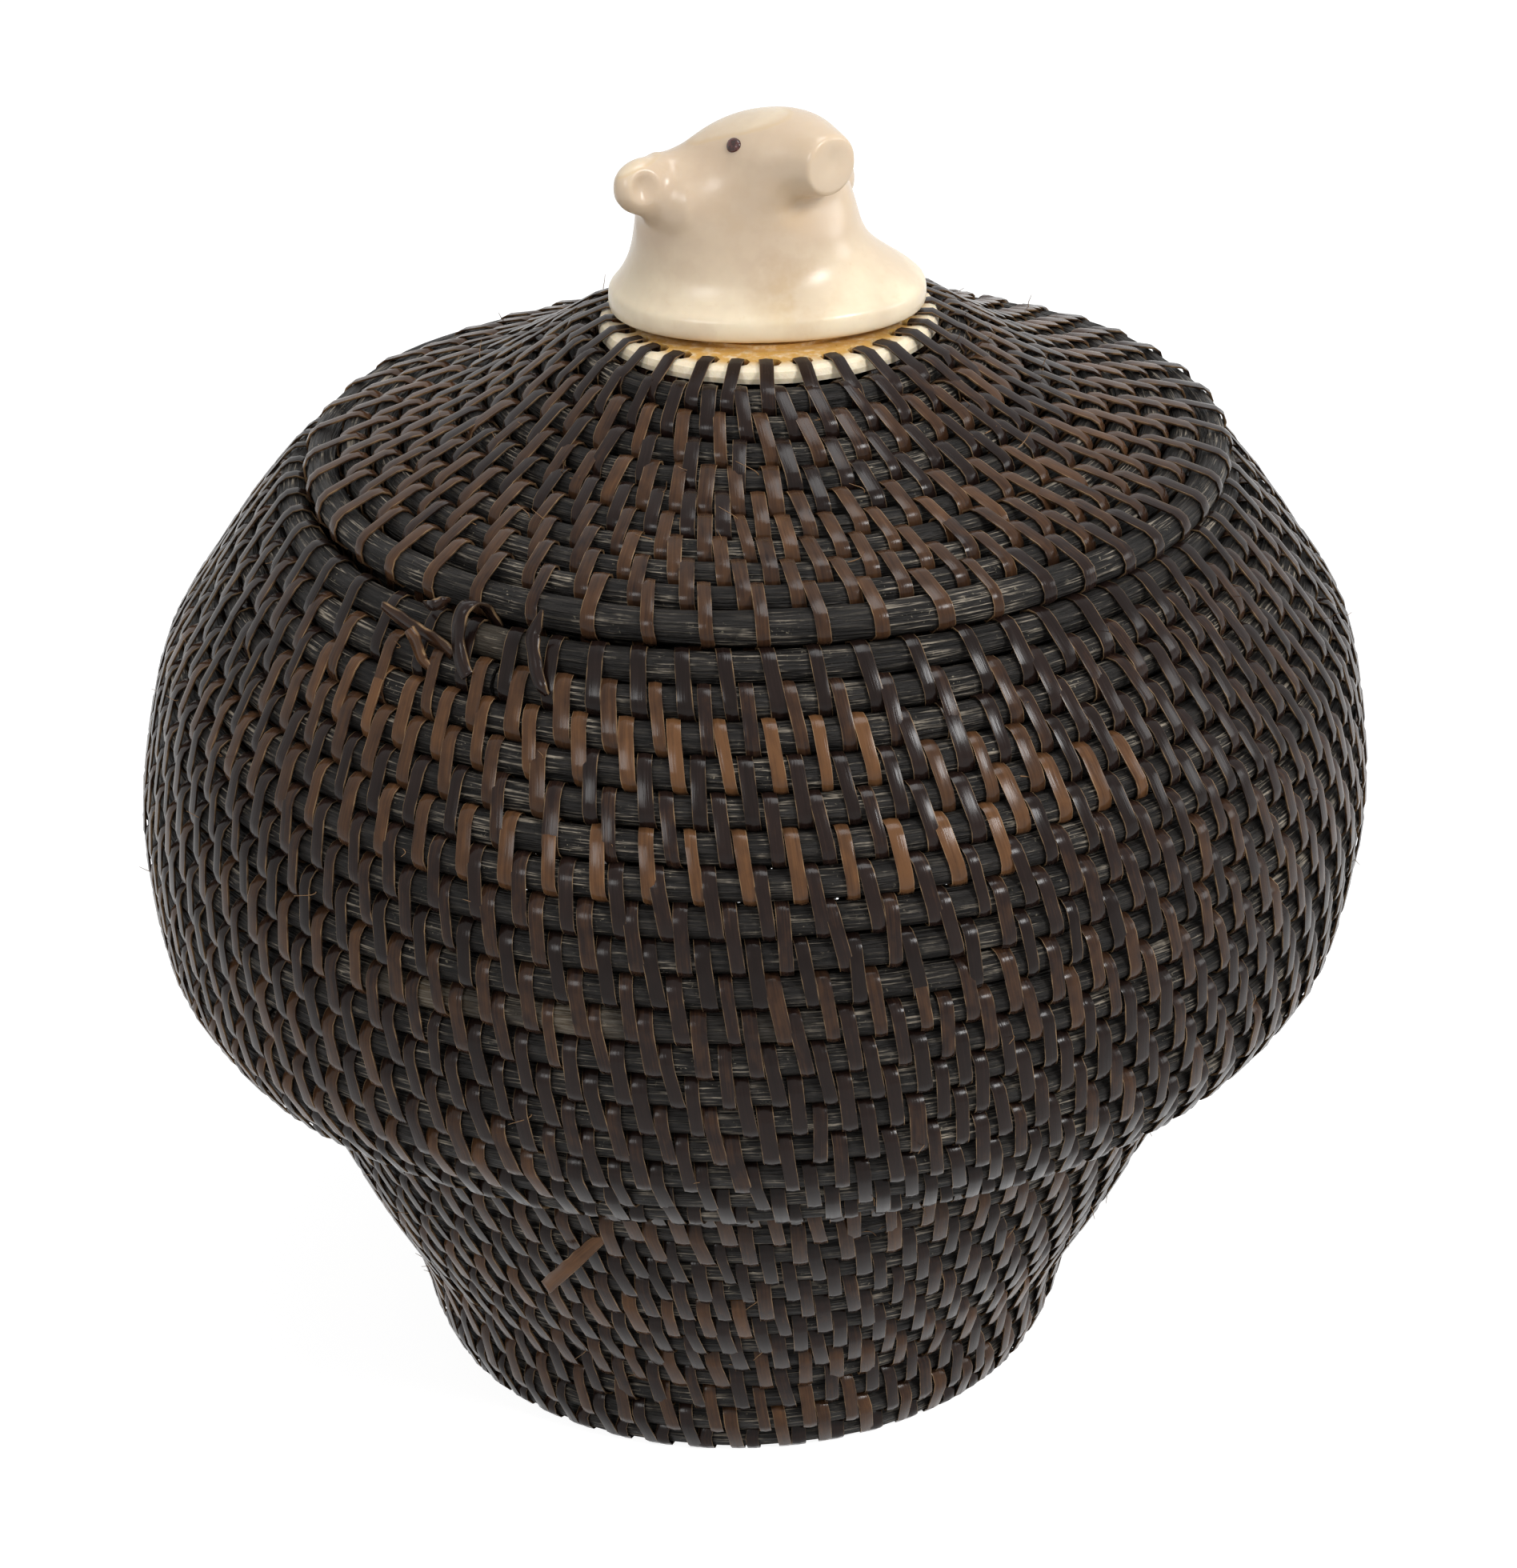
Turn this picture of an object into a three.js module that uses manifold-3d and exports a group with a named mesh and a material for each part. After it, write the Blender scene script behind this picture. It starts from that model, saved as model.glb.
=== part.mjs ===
// A covered basket coiled from baleen rod round two drilled ivory discs, with a carved ivory finial on its lid.
// Sizes are in millimetres and +Z is up. The photographed side faces -Y, and the basket stands on z = 0.

import * as THREE from "three";
import { mergeVertices } from "three/addons/utils/BufferGeometryUtils.js";
import Module from "manifold-3d";

const wasm = await Module();
wasm.setup();

// The rods and the way they are wound
const rodDiameter = 2;
const coursePitch = 2.68;
const lidRodDiameter = 2;
const lidCoursePitch = 2.48;
const edgeRodDiameter = 2.5;
const courseGap = 0.5;
const seatGap = 0.4;
const spliceGap = 0.3;
const pieceGap = 0.3;
const climbShare = 0.3;
const rodTipShare = 0.35;
const restCutShare = 0.1;
const rodSides = 5;
const wallSteps = 18;
const rimLengthCourses = 2;
const rodEndShare = 0.05;
const lidSteps = 16;

// The wall, measured at the centre of its rods
const footRadius = 25.5;
const footTopRadius = 37.9;
const footTopHeight = 30.4;
const bellyEdgeRadius = 44.3;
const bellyEdgeHeight = 34.6;
const bellyRadius = 48.6;
const bellyHeight = 50.5;
const shoulderRadius = 46.5;
const shoulderHeight = 62.9;
const mouthRadius = 37.3;
const mouthHeight = 76.1;
const floorRise = 0.9;
const heelRadius = 2.2;
// How far the hand-made wall leans to the right for each unit of height
const leanShare = 0.038;

// The lid
const lidSetback = 1.65;
// How far the lid sits to the right of the mouth's axis, as it lies in the photograph
const lidShift = 0.7;
const lidRise = 9.5;
const flangeClearance = 1.8;
const flangeCourses = 2;

// The two drilled starter discs
const baseDiscRadius = 12.5;
const baseDiscThickness = 2.6;
const baseHubRadius = 9.6;
const baseRimThickness = 1.3;
const lidDiscRadius = 13.5;
const lidDiscThickness = 1.1;
const lidDiscLift = 1.1;
const lidRimRounding = 0.7;
const lidHubRadius = 8.6;
const discGap = 0.4;
const laceHoleDiameter = 1.8;
const laceHoleInset = 1.8;
const laceHoles = 30;
const discSides = 48;
const holeSides = 8;

// The flat lacing strip of split baleen
const stripWidth = 1.1;
const stripThickness = 0.23;
const stripClearance = 0.14;
const roundRodSteps = 4;

// The finial, its peg and its inlaid eyes
const finialHalfLength = 12.5;
const finialHalfWidth = 9.3;
const finialHeight = 17.4;
const finialFlangeThickness = 1.8;
const headYaw = 38;
const headRoll = 11;
const headHeight = 11.2;
const headOffset = 1.1;
const carvingShift = -0.1;
const headLength = 19.5;
const headHalfWidth = 7.4;
const headHalfHeight = 5.4;
const earReach = 11.9;
const earLength = 6.9;
const earHeight = 5.6;
const earThickness = 3.4;
const earSetback = 1.9;
const earLift = -1.7;
const earDishDiameter = 4.2;
const earDishDepth = 1;
const pegDiameter = 4;
const pegInFinial = 5;
const pegBelowDisc = 1.6;
const eyeDiameter = 1.5;
const eyeDepth = 1.4;
const eyeProud = 0.15;
const eyeGap = 0.15;
const eyeSlant = 68;
const loftSides = 20;
const ovalPower = 2.15;
const skullPower = 2;
const barSides = 16;
const eyeSides = 10;
const earSides = 12;

const tau = 2 * Math.PI;
const front = -tau / 4;
const rodRadius = rodDiameter / 2;
const lidRodRadius = lidRodDiameter / 2;
const edgeRodRadius = edgeRodDiameter / 2;

// Where the leaning axis of the basket stands at a height
function axisAt(height) {
  return leanShare * (height - bellyHeight);
}

function mix(a, b, share) {
  return a + (b - a) * share;
}

function between(a, b, radiusShare, heightShare) {
  return new THREE.Vector2(mix(a.x, b.x, radiusShare), mix(a.y, b.y, heightShare));
}

// Solids

function solid(geometry) {
  const bare = geometry.clone();
  for (const name of Object.keys(bare.attributes)) {
    if (name !== "position") bare.deleteAttribute(name);
  }
  const merged = mergeVertices(bare, 1e-5);
  return new wasm.Manifold(
    new wasm.Mesh({
      numProp: 3,
      vertProperties: merged.attributes.position.array,
      triVerts: new Uint32Array(merged.index.array),
    }),
  );
}

function geometryOf(made) {
  const { numProp, vertProperties, triVerts } = made.getMesh();
  const geometry = new THREE.BufferGeometry();
  const positions = new Float32Array((vertProperties.length / numProp) * 3);
  for (let i = 0; i < positions.length / 3; i++) {
    positions.set(vertProperties.subarray(i * numProp, i * numProp + 3), i * 3);
  }
  geometry.setAttribute("position", new THREE.BufferAttribute(positions, 3));
  geometry.setIndex(new THREE.BufferAttribute(triVerts, 1));
  return geometry;
}

function join(first, ...others) {
  return geometryOf(others.reduce((sum, other) => sum.add(solid(other)), solid(first)));
}

function cut(first, ...tools) {
  return geometryOf(tools.reduce((rest, tool) => rest.subtract(solid(tool)), solid(first)));
}

// A closed tube through rings of points that all have as many points, with flat ends facing out
function tube(rings) {
  const sides = rings[0].length;
  const positions = rings.flat().flatMap((point) => point.toArray());
  const faces = [];
  const last = (rings.length - 1) * sides;
  for (let i = 0; i < rings.length - 1; i++) {
    for (let j = 0; j < sides; j++) {
      const a = i * sides + j;
      const b = i * sides + ((j + 1) % sides);
      faces.push(a, b, b + sides, a, b + sides, a + sides);
    }
  }
  for (let j = 1; j < sides - 1; j++) {
    faces.push(0, j + 1, j, last, last + j, last + j + 1);
  }
  const geometry = new THREE.BufferGeometry();
  geometry.setAttribute("position", new THREE.Float32BufferAttribute(positions, 3));
  if (signedVolume(positions, faces) < 0) faces.reverse();
  geometry.setIndex(faces);
  return geometry;
}

function signedVolume(positions, faces) {
  const corner = (i) => new THREE.Vector3().fromArray(positions, faces[i] * 3);
  let sum = 0;
  for (let i = 0; i < faces.length; i += 3) {
    sum += corner(i).dot(corner(i + 1).cross(corner(i + 2)));
  }
  return sum / 6;
}

// Coils

// The point, tangent and outward normal at a distance along a profile of radii and heights, straight past its ends.
// Facing is 1 where the outside lies to the right of the way along the profile, and -1 where it lies to the left.
function along(profile, distance, facing) {
  const inside = THREE.MathUtils.clamp(distance, 0, profile.getLength());
  const share = inside / profile.getLength();
  const tangent = profile.getTangentAt(share);
  const point = profile.getPointAt(share).addScaledVector(tangent, distance - inside);
  const normal = new THREE.Vector2(tangent.y, -tangent.x).multiplyScalar(facing);
  return { point, tangent, normal };
}

// A coil lies in level courses. In the last share of each turn, at the back, the rod climbs to the next course.
// The first and the last course thin out there, so that both edges of the coil stay level.
function coil({ profile, start, pitch, radius, courses, sense, facing, steps }) {
  const frontShare = 0.5 - climbShare / 2;
  const end = (courses - 1) * pitch;
  const climbOf = (over) => (climbShare * over) / pitch;
  const tipOver = 2 * radius * (1 - rodTipShare);

  function sectionAt(turn) {
    const whole = Math.floor(turn);
    const climb = Math.max(0, (turn - whole - 1 + climbShare) / climbShare);
    const wound = pitch * (whole + climb);
    const under = Math.max(0, -wound);
    const over = Math.max(0, wound - end);
    const place = along(profile, start + wound + under / 2 - over / 2, facing);
    return { ...place, radius: radius - (under + over) / 2, azimuth: azimuthAt(turn) };
  }

  function azimuthAt(turn) {
    return front + sense * tau * (turn - frontShare);
  }

  function ringAt(turn) {
    const { point, tangent, normal, radius: r, azimuth } = sectionAt(turn);
    const ring = [];
    for (let j = 0; j < rodSides; j++) {
      const angle = (tau * j) / rodSides;
      const at = point
        .clone()
        .addScaledVector(normal, r * Math.cos(angle))
        .addScaledVector(tangent, r * Math.sin(angle));
      ring.push(onWall(at, azimuth));
    }
    return ring;
  }

  // The rod runs straight from one grid place to the next
  function onChord(turn, placeAt) {
    const step = (turn - frontShare) * steps;
    const low = Math.floor(step);
    const from = placeAt(frontShare + low / steps);
    const to = placeAt(frontShare + (low + 1) / steps);
    return from.map((point, j) => point.clone().lerp(to[j], step - low));
  }

  function centreAt(turn) {
    const middle = (t) => [onWall(sectionAt(t).point, azimuthAt(t))];
    return onChord(turn, middle)[0];
  }

  function rod(from, to) {
    const rings = [onChord(from, ringAt)];
    const least = rodEndShare / steps;
    const firstStep = Math.ceil((from + least - frontShare) * steps);
    for (let k = firstStep; frontShare + k / steps < to - least; k++) {
      rings.push(ringAt(frontShare + k / steps));
    }
    rings.push(onChord(to, ringAt));
    return tube(rings);
  }

  return {
    rod,
    centreAt,
    sectionAt,
    azimuthAt,
    firstTurn: -climbOf(tipOver),
    lastTurn: courses - climbShare + climbOf(tipOver),
    frontShare,
    pitch,
    radius,
    steps,
  };
}

function onWall(point, azimuth) {
  return new THREE.Vector3(
    point.x * Math.cos(azimuth) + axisAt(point.y),
    point.x * Math.sin(azimuth),
    point.y,
  );
}

// The place of a butt splice: the middle of a step, a share of a turn past the front of a course
function spliceTurn(wound, course, turnShare) {
  const step = Math.floor(turnShare * wound.steps) + 0.5;
  return course + wound.frontShare + step / wound.steps;
}

// The lengths of rod between the splices, with a gap at each splice
function splicedRods(wound, splices) {
  const ends = [wound.firstTurn, ...splices, wound.lastTurn];
  const rods = [];
  for (let i = 0; i < ends.length - 1; i++) {
    const from = i === 0 ? ends[i] : ends[i] + halfGapTurns(wound, ends[i]);
    const to = i === ends.length - 2 ? ends[i + 1] : ends[i + 1] - halfGapTurns(wound, ends[i + 1]);
    rods.push(wound.rod(from, to));
  }
  return rods;
}

function halfGapTurns(wound, turn) {
  return spliceGap / 2 / (tau * wound.sectionAt(turn).point.x);
}

// The least distance between the surfaces of two turns of one rod, measured on points of its centre line
function leastGap(wound) {
  const perTurn = wound.steps * 4;
  const points = [];
  const radii = [];
  for (let turn = wound.firstTurn; turn < wound.lastTurn; turn += 1 / perTurn) {
    points.push(wound.centreAt(turn));
    radii.push(wound.sectionAt(turn).radius);
  }
  let least = Infinity;
  for (let i = 0; i < points.length; i++) {
    const stop = Math.min(points.length, i + perTurn * 1.5);
    for (let j = i + perTurn / 2; j < stop; j++) {
      least = Math.min(least, points[i].distanceTo(points[j]) - radii[i] - radii[j]);
    }
  }
  return least;
}

// The wall's profile, from the first course at the base disc to the rim
const restHeight = rodRadius - restCutShare * rodDiameter;
const floorStart = new THREE.Vector2(baseDiscRadius + discGap + rodRadius, restHeight + floorRise);
const heel = new THREE.Vector2(footRadius - heelRadius, restHeight);
const foot = new THREE.Vector2(footRadius, restHeight + heelRadius);
const footTop = new THREE.Vector2(footTopRadius, footTopHeight);
const bellyEdge = new THREE.Vector2(bellyEdgeRadius, bellyEdgeHeight);
const belly = new THREE.Vector2(bellyRadius, bellyHeight);
const shoulder = new THREE.Vector2(shoulderRadius, shoulderHeight);
const mouth = new THREE.Vector2(mouthRadius, mouthHeight);
const wallKnots = [
  floorStart,
  between(floorStart, heel, 0.5, 0.6),
  heel,
  between(heel, foot, Math.SQRT1_2, 1 - Math.SQRT1_2),
  foot,
  between(foot, footTop, 0.12, 0.21),
  between(foot, footTop, 0.43, 0.47),
  between(foot, footTop, 0.71, 0.73),
  footTop,
  between(footTop, bellyEdge, 0.24, 0.56),
  between(footTop, bellyEdge, 0.6, 0.84),
  bellyEdge,
  between(bellyEdge, belly, 0.37, 0.14),
  between(bellyEdge, belly, 0.67, 0.29),
  between(bellyEdge, belly, 0.88, 0.6),
  belly,
  between(belly, shoulder, 0.36, 0.56),
  shoulder,
  between(shoulder, mouth, 0.3, 0.34),
  between(shoulder, mouth, 0.63, 0.68),
  mouth,
];
const wallProfile = new THREE.SplineCurve(wallKnots);
const spansPerKnot = 60;
wallProfile.arcLengthDivisions = (wallKnots.length - 1) * spansPerKnot;
const wallLength = wallProfile.getLength();
const wallCourses = Math.round(wallLength / coursePitch) + 1;
const wall = coil({
  profile: wallProfile,
  start: 0,
  pitch: wallLength / (wallCourses - 1),
  radius: rodRadius,
  courses: wallCourses,
  sense: -1,
  facing: 1,
  steps: wallSteps,
});

function courseAt(knot) {
  const distance = wallProfile.getLengths()[wallKnots.indexOf(knot) * spansPerKnot];
  return Math.round(distance / wall.pitch);
}

// The lid's profile, from the first course at the lid disc to its thick edge rod
const lidReach = rodRadius + edgeRodRadius + seatGap;
const edgeHeight = mouthHeight + Math.sqrt(lidReach ** 2 - (lidSetback - lidShift) ** 2);
const edge = new THREE.Vector2(mouthRadius - lidSetback, edgeHeight);
const crown = new THREE.Vector2(lidDiscRadius + discGap + lidRodRadius, edgeHeight + lidRise);
const lidProfile = new THREE.SplineCurve([
  crown,
  between(crown, edge, 0.2, 0.28),
  between(crown, edge, 0.41, 0.53),
  between(crown, edge, 0.63, 0.71),
  between(crown, edge, 0.86, 0.87),
  edge,
]);
const edgeSpacing = lidRodRadius + edgeRodRadius + courseGap;
const domeLength = lidProfile.getLength() - edgeSpacing;
const lidCourses = Math.floor(domeLength / lidCoursePitch) + 1;
const lid = coil({
  profile: lidProfile,
  start: 0,
  pitch: domeLength / (lidCourses - 1),
  radius: lidRodRadius,
  courses: lidCourses,
  sense: 1,
  facing: -1,
  steps: lidSteps,
});
const lidEdge = coil({
  profile: lidProfile,
  start: lidProfile.getLength(),
  pitch: edgeRodDiameter + courseGap,
  radius: edgeRodRadius,
  courses: 1,
  sense: 1,
  facing: -1,
  steps: lidSteps,
});

// The flange: courses under the lid that drop inside the mouth
const flangeRadius = mouthRadius - rodRadius - flangeClearance - lidRodRadius;
const flangeReach = lidRodRadius + edgeRodRadius + courseGap;
const flangeTop = edgeHeight - Math.sqrt(flangeReach ** 2 - (edge.x - flangeRadius) ** 2);
const flangePitch = lidRodDiameter + courseGap;
const flangeBottom = flangeTop - flangePitch * (flangeCourses - 1);
const flange = coil({
  profile: new THREE.LineCurve(
    new THREE.Vector2(flangeRadius, flangeBottom),
    new THREE.Vector2(flangeRadius, flangeTop),
  ),
  start: 0,
  pitch: flangePitch,
  radius: lidRodRadius,
  courses: flangeCourses,
  sense: 1,
  facing: 1,
  steps: lidSteps,
});

// A half space under the basket, which cuts the rods that touch the table flat
function tableUnder() {
  const side = 4 * bellyRadius;
  return new THREE.BoxGeometry(side, side, side).translate(0, 0, -side / 2);
}

// Starter discs

function turned(outline, x, sides) {
  const points = outline.map(([radius, height]) => new THREE.Vector2(radius, height));
  return new THREE.LatheGeometry(points, sides).rotateX(tau / 4).translate(x, 0, 0);
}

function drill(diameter, from, to, x, y) {
  const overrun = to - from;
  return new THREE.CylinderGeometry(diameter / 2, diameter / 2, 3 * overrun, holeSides)
    .rotateX(tau / 4)
    .translate(x, y, (from + to) / 2);
}

function laceHoleTools(radius, from, to) {
  const tools = [];
  for (let i = 0; i < laceHoles; i++) {
    const azimuth = front + (tau * i) / laceHoles;
    const x = axisAt(from) + radius * Math.cos(azimuth);
    tools.push(drill(laceHoleDiameter, from, to, x, radius * Math.sin(azimuth)));
  }
  return tools;
}

const baseHoleRadius = baseDiscRadius - laceHoleInset;
const baseRimTop = baseDiscThickness;
const baseRimBottom = baseRimTop - baseRimThickness;
const baseBlank = turned(
  [
    [0, 0],
    [baseHubRadius, 0],
    [baseHubRadius, baseRimBottom],
    [baseDiscRadius, baseRimBottom],
    [baseDiscRadius, baseRimTop],
    [0, baseRimTop],
  ],
  axisAt(baseRimBottom),
  discSides,
);
const baseDisc = cut(baseBlank, ...laceHoleTools(baseHoleRadius, baseRimBottom, baseRimTop));

const lidDiscBottom = crown.y + lidDiscLift;
const lidDiscTop = lidDiscBottom + lidDiscThickness;
const lidHoleRadius = lidDiscRadius - laceHoleInset;
const lidHubTop = lidDiscTop + stripThickness;
const pegBore = pegDiameter / 2 + pieceGap;
const rimCorner = lidRimRounding * (1 - Math.SQRT1_2);
const lidBlank = turned(
  [
    [pegBore, lidDiscBottom],
    [lidDiscRadius, lidDiscBottom],
    [lidDiscRadius, lidDiscTop - lidRimRounding],
    [lidDiscRadius - rimCorner, lidDiscTop - rimCorner],
    [lidDiscRadius - lidRimRounding, lidDiscTop],
    [lidHubRadius, lidDiscTop],
    [lidHubRadius, lidHubTop],
    [pegBore, lidHubTop],
    [pegBore, lidDiscBottom],
  ],
  axisAt(lidDiscBottom),
  discSides,
);
const lidDisc = cut(lidBlank, ...laceHoleTools(lidHoleRadius, lidDiscBottom, lidDiscTop));

// The lacing: one unbroken flat strip that goes up through each hole, over the disc's rim and the first rod,
// down between the first two courses and back under both to the next hole
function lacing(wound, disc, outward) {
  const rings = [];
  const spacing = tau / laceHoles;
  const away = stripThickness / 2 + stripClearance;
  const [near, far] = outward > 0 ? [disc.top, disc.bottom] : [disc.bottom, disc.top];
  const clear = far - outward * away;
  for (let i = 0; i < laceHoles; i++) {
    const azimuth = front + spacing * i;
    rings.push(stripRing(disc.hole, clear, azimuth, [-1, -outward]));
    rings.push(stripRing(disc.hole, near + outward * away, azimuth, [-1, outward]));
    rings.push(stripRing(disc.rim, near + outward * away, azimuth, [0, outward]));
    for (let k = 0; k <= roundRodSteps + 1; k++) {
      const angle = ((tau / 2) * k) / roundRodSteps;
      const turned = azimuth + (spacing / 3) * Math.max(0, (2 * k) / roundRodSteps - 1);
      const rod = hugging(wound, turned);
      const facing = rod.normal
        .clone()
        .multiplyScalar(Math.cos(angle))
        .addScaledVector(rod.tangent, Math.sin(angle));
      const reach = mix((rod.radius + away) / Math.cos(tau / 4 / roundRodSteps), rod.side, Math.sin(angle) ** 8);
      const at = rod.centre.clone().addScaledVector(facing, reach);
      const height = k > roundRodSteps && (at.y - clear) * outward > 0 ? clear : at.y;
      rings.push(stripRing(at.x, height, turned, facing.toArray()));
    }
  }
  return tube(rings);
}

// The rod that lies against the disc at an azimuth, and how far out the middle of the gap beside it is
function hugging(wound, azimuth) {
  const turns = (azimuth - wound.azimuthAt(0)) / (wound.azimuthAt(1) - wound.azimuthAt(0));
  const whole = turns - Math.floor(turns);
  const turn = whole > 1 + wound.firstTurn ? whole - 1 : whole;
  const place = wound.centreAt(turn);
  const { normal, tangent, radius } = wound.sectionAt(turn);
  const centre = new THREE.Vector2(Math.hypot(place.x - axisAt(place.z), place.y), place.z);
  return { centre, normal, tangent, radius, side: radius + wound.pitch / 2 - wound.radius };
}

// A cross-section of the strip, flat across the basket's round, with its face towards [out, up]
function stripRing(distance, height, azimuth, [out, up]) {
  const face = new THREE.Vector2(out, up).normalize().multiplyScalar(stripThickness / 2);
  const round = new THREE.Vector3(-Math.sin(azimuth), Math.cos(azimuth), 0);
  const corners = [
    [1, 1],
    [-1, 1],
    [-1, -1],
    [1, -1],
  ];
  return corners.map(([across, through]) =>
    new THREE.Vector3(
      (distance + through * face.x) * Math.cos(azimuth) + axisAt(height),
      (distance + through * face.x) * Math.sin(azimuth),
      height + through * face.y,
    ).addScaledVector(round, (across * stripWidth) / 2),
  );
}

const lidLacing = lacing(
  lid,
  { hole: lidHoleRadius, rim: lidDiscRadius, bottom: lidDiscBottom, top: lidDiscTop },
  1,
);
const baseLacing = lacing(
  wall,
  { hole: baseHoleRadius, rim: baseDiscRadius, bottom: baseRimBottom, top: baseRimTop },
  -1,
);

// The finial: an oval flange and neck, and a head that looks to the front and right

const finialBottom = lidHubTop + pieceGap;
const finialX = axisAt(finialBottom);

// An oval ring round a centre, in the plane of two directions, squared off as its power grows over 2
function oval(centre, across, up, halfAcross, halfUp, power) {
  const ring = [];
  for (let j = 0; j < loftSides; j++) {
    const angle = (tau * j) / loftSides;
    const bulge = (value) => Math.sign(value) * Math.abs(value) ** (2 / power);
    ring.push(
      centre
        .clone()
        .addScaledVector(across, halfAcross * bulge(Math.cos(angle)))
        .addScaledVector(up, halfUp * bulge(Math.sin(angle))),
    );
  }
  return ring;
}

// The flange and the neck: height, half length, half width and sideways place, as shares of the finial's sizes
const neckShares = [
  [0, 0.99, 0.98, 0],
  [0.02, 1, 1, 0],
  [0.09, 1, 1, 0],
  [0.12, 0.985, 0.96, 0],
  [0.16, 0.94, 0.9, -0.01],
  [0.22, 0.84, 0.82, -0.05],
  [0.28, 0.76, 0.77, -0.09],
  [0.36, 0.725, 0.75, -0.12],
  [0.5, 0.7, 0.74, -0.13],
  [0.58, 0.62, 0.66, -0.13],
  [0.66, 0.46, 0.52, -0.12],
];

function neck() {
  const east = new THREE.Vector3(1, 0, 0);
  const north = new THREE.Vector3(0, 1, 0);
  const flangeShare = finialFlangeThickness / finialHeight;
  const rings = neckShares.map(([heightShare, lengthShare, widthShare, sideShare], i) => {
    const share = i === 2 ? flangeShare : heightShare;
    const side = carvingShift + sideShare * finialHalfLength;
    const centre = new THREE.Vector3(side, 0, share * finialHeight);
    const halfLength = lengthShare * finialHalfLength;
    const halfWidth = widthShare * finialHalfWidth;
    return oval(centre, east, north, halfLength, halfWidth, ovalPower);
  });
  return tube(rings);
}

// The head from the nape to the nose pad: place along the head, half width, half height and lift, as shares
// of its length, half width, half height and half height
const headShares = [
  [-0.5, 0.36, 0.3, -0.85],
  [-0.4, 0.7, 0.5, -0.75],
  [-0.25, 0.94, 0.74, -0.48],
  [-0.08, 0.92, 0.93, -0.12],
  [0.1, 0.76, 0.9, 0.1],
  [0.26, 0.54, 0.66, 0.36],
  [0.42, 0.4, 0.5, 0.52],
  [0.48, 0.35, 0.43, 0.52],
  [0.5, 0.28, 0.34, 0.52],
];

// The head's own frame: x across towards its right ear, y towards its nose, z up
const headFrame = new THREE.Matrix4()
  .makeTranslation(carvingShift - headOffset, 0, headHeight)
  .multiply(new THREE.Matrix4().makeRotationZ(THREE.MathUtils.degToRad(headYaw) - tau / 2))
  .multiply(new THREE.Matrix4().makeRotationY(-THREE.MathUtils.degToRad(headRoll)));

function skull() {
  const across = new THREE.Vector3(1, 0, 0);
  const up = new THREE.Vector3(0, 0, 1);
  const rings = headShares.map(([lengthShare, widthShare, heightShare, liftShare]) => {
    const centre = new THREE.Vector3(0, lengthShare * headLength, liftShare * headHalfHeight);
    return oval(centre, across, up, widthShare * headHalfWidth, heightShare * headHalfHeight, skullPower);
  });
  return tube(rings).applyMatrix4(headFrame);
}

function ear(side) {
  return new THREE.SphereGeometry(earHeight / 2, earSides, (earSides * 2) / 3)
    .scale(earLength / earHeight, earThickness / earHeight, 1)
    .translate(side * (earReach - earLength / 2), -earSetback, earLift)
    .applyMatrix4(headFrame);
}

// The tool that dishes an ear's front
function earDish(side) {
  const ahead = earThickness / 2 - earDishDepth + earDishDiameter / 2;
  return new THREE.SphereGeometry(earDishDiameter / 2, earSides, (earSides * 2) / 3)
    .translate(side * (earReach - earLength / 2 + earDishDepth), ahead - earSetback, earLift)
    .applyMatrix4(headFrame);
}

// The place of an eye on the head, as shares of half width, length and half height
const eyeShares = [0.6, 0.2, 0.48];

function eyeBar(side, diameter, reach) {
  const [acrossShare, alongShare, upShare] = eyeShares;
  const place = new THREE.Vector3(
    side * acrossShare * headHalfWidth,
    alongShare * headLength,
    upShare * headHalfHeight,
  );
  return new THREE.CylinderGeometry(diameter / 2, diameter / 2, eyeDepth + reach, eyeSides)
    .translate(0, (reach - eyeDepth) / 2, 0)
    .rotateZ(-side * THREE.MathUtils.degToRad(eyeSlant))
    .translate(...place.toArray())
    .applyMatrix4(headFrame);
}

const pegRoomDepth = 2 * (pegInFinial + pieceGap);
const pegRoom = new THREE.CylinderGeometry(pegBore, pegBore, pegRoomDepth, barSides).rotateX(tau / 4);
const finialShape = join(neck(), skull(), ear(-1), ear(1));
const finial = cut(
  finialShape,
  pegRoom,
  earDish(-1),
  earDish(1),
  eyeBar(-1, eyeDiameter + 2 * eyeGap, eyeDiameter),
  eyeBar(1, eyeDiameter + 2 * eyeGap, eyeDiameter),
);

const pegLength = pegInFinial + pieceGap + lidHubTop - lidDiscBottom + pegBelowDisc;
const peg = new THREE.CylinderGeometry(pegDiameter / 2, pegDiameter / 2, pegLength, barSides)
  .rotateX(tau / 4)
  .translate(0, 0, pegInFinial - pegLength / 2);

// The assembly

const baleen = new THREE.MeshStandardMaterial({ color: 0x1d1916, roughness: 0.55, metalness: 0 });
const strip = new THREE.MeshStandardMaterial({ color: 0x3a2820, roughness: 0.35, metalness: 0 });
const ivory = new THREE.MeshStandardMaterial({ color: 0xe9dcc0, roughness: 0.25, metalness: 0 });
const inlay = new THREE.MeshStandardMaterial({ color: 0x2a1512, roughness: 0.3, metalness: 0 });

function named(name, geometry, material) {
  const mesh = new THREE.Mesh(geometry, material);
  mesh.name = name;
  return mesh;
}

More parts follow.
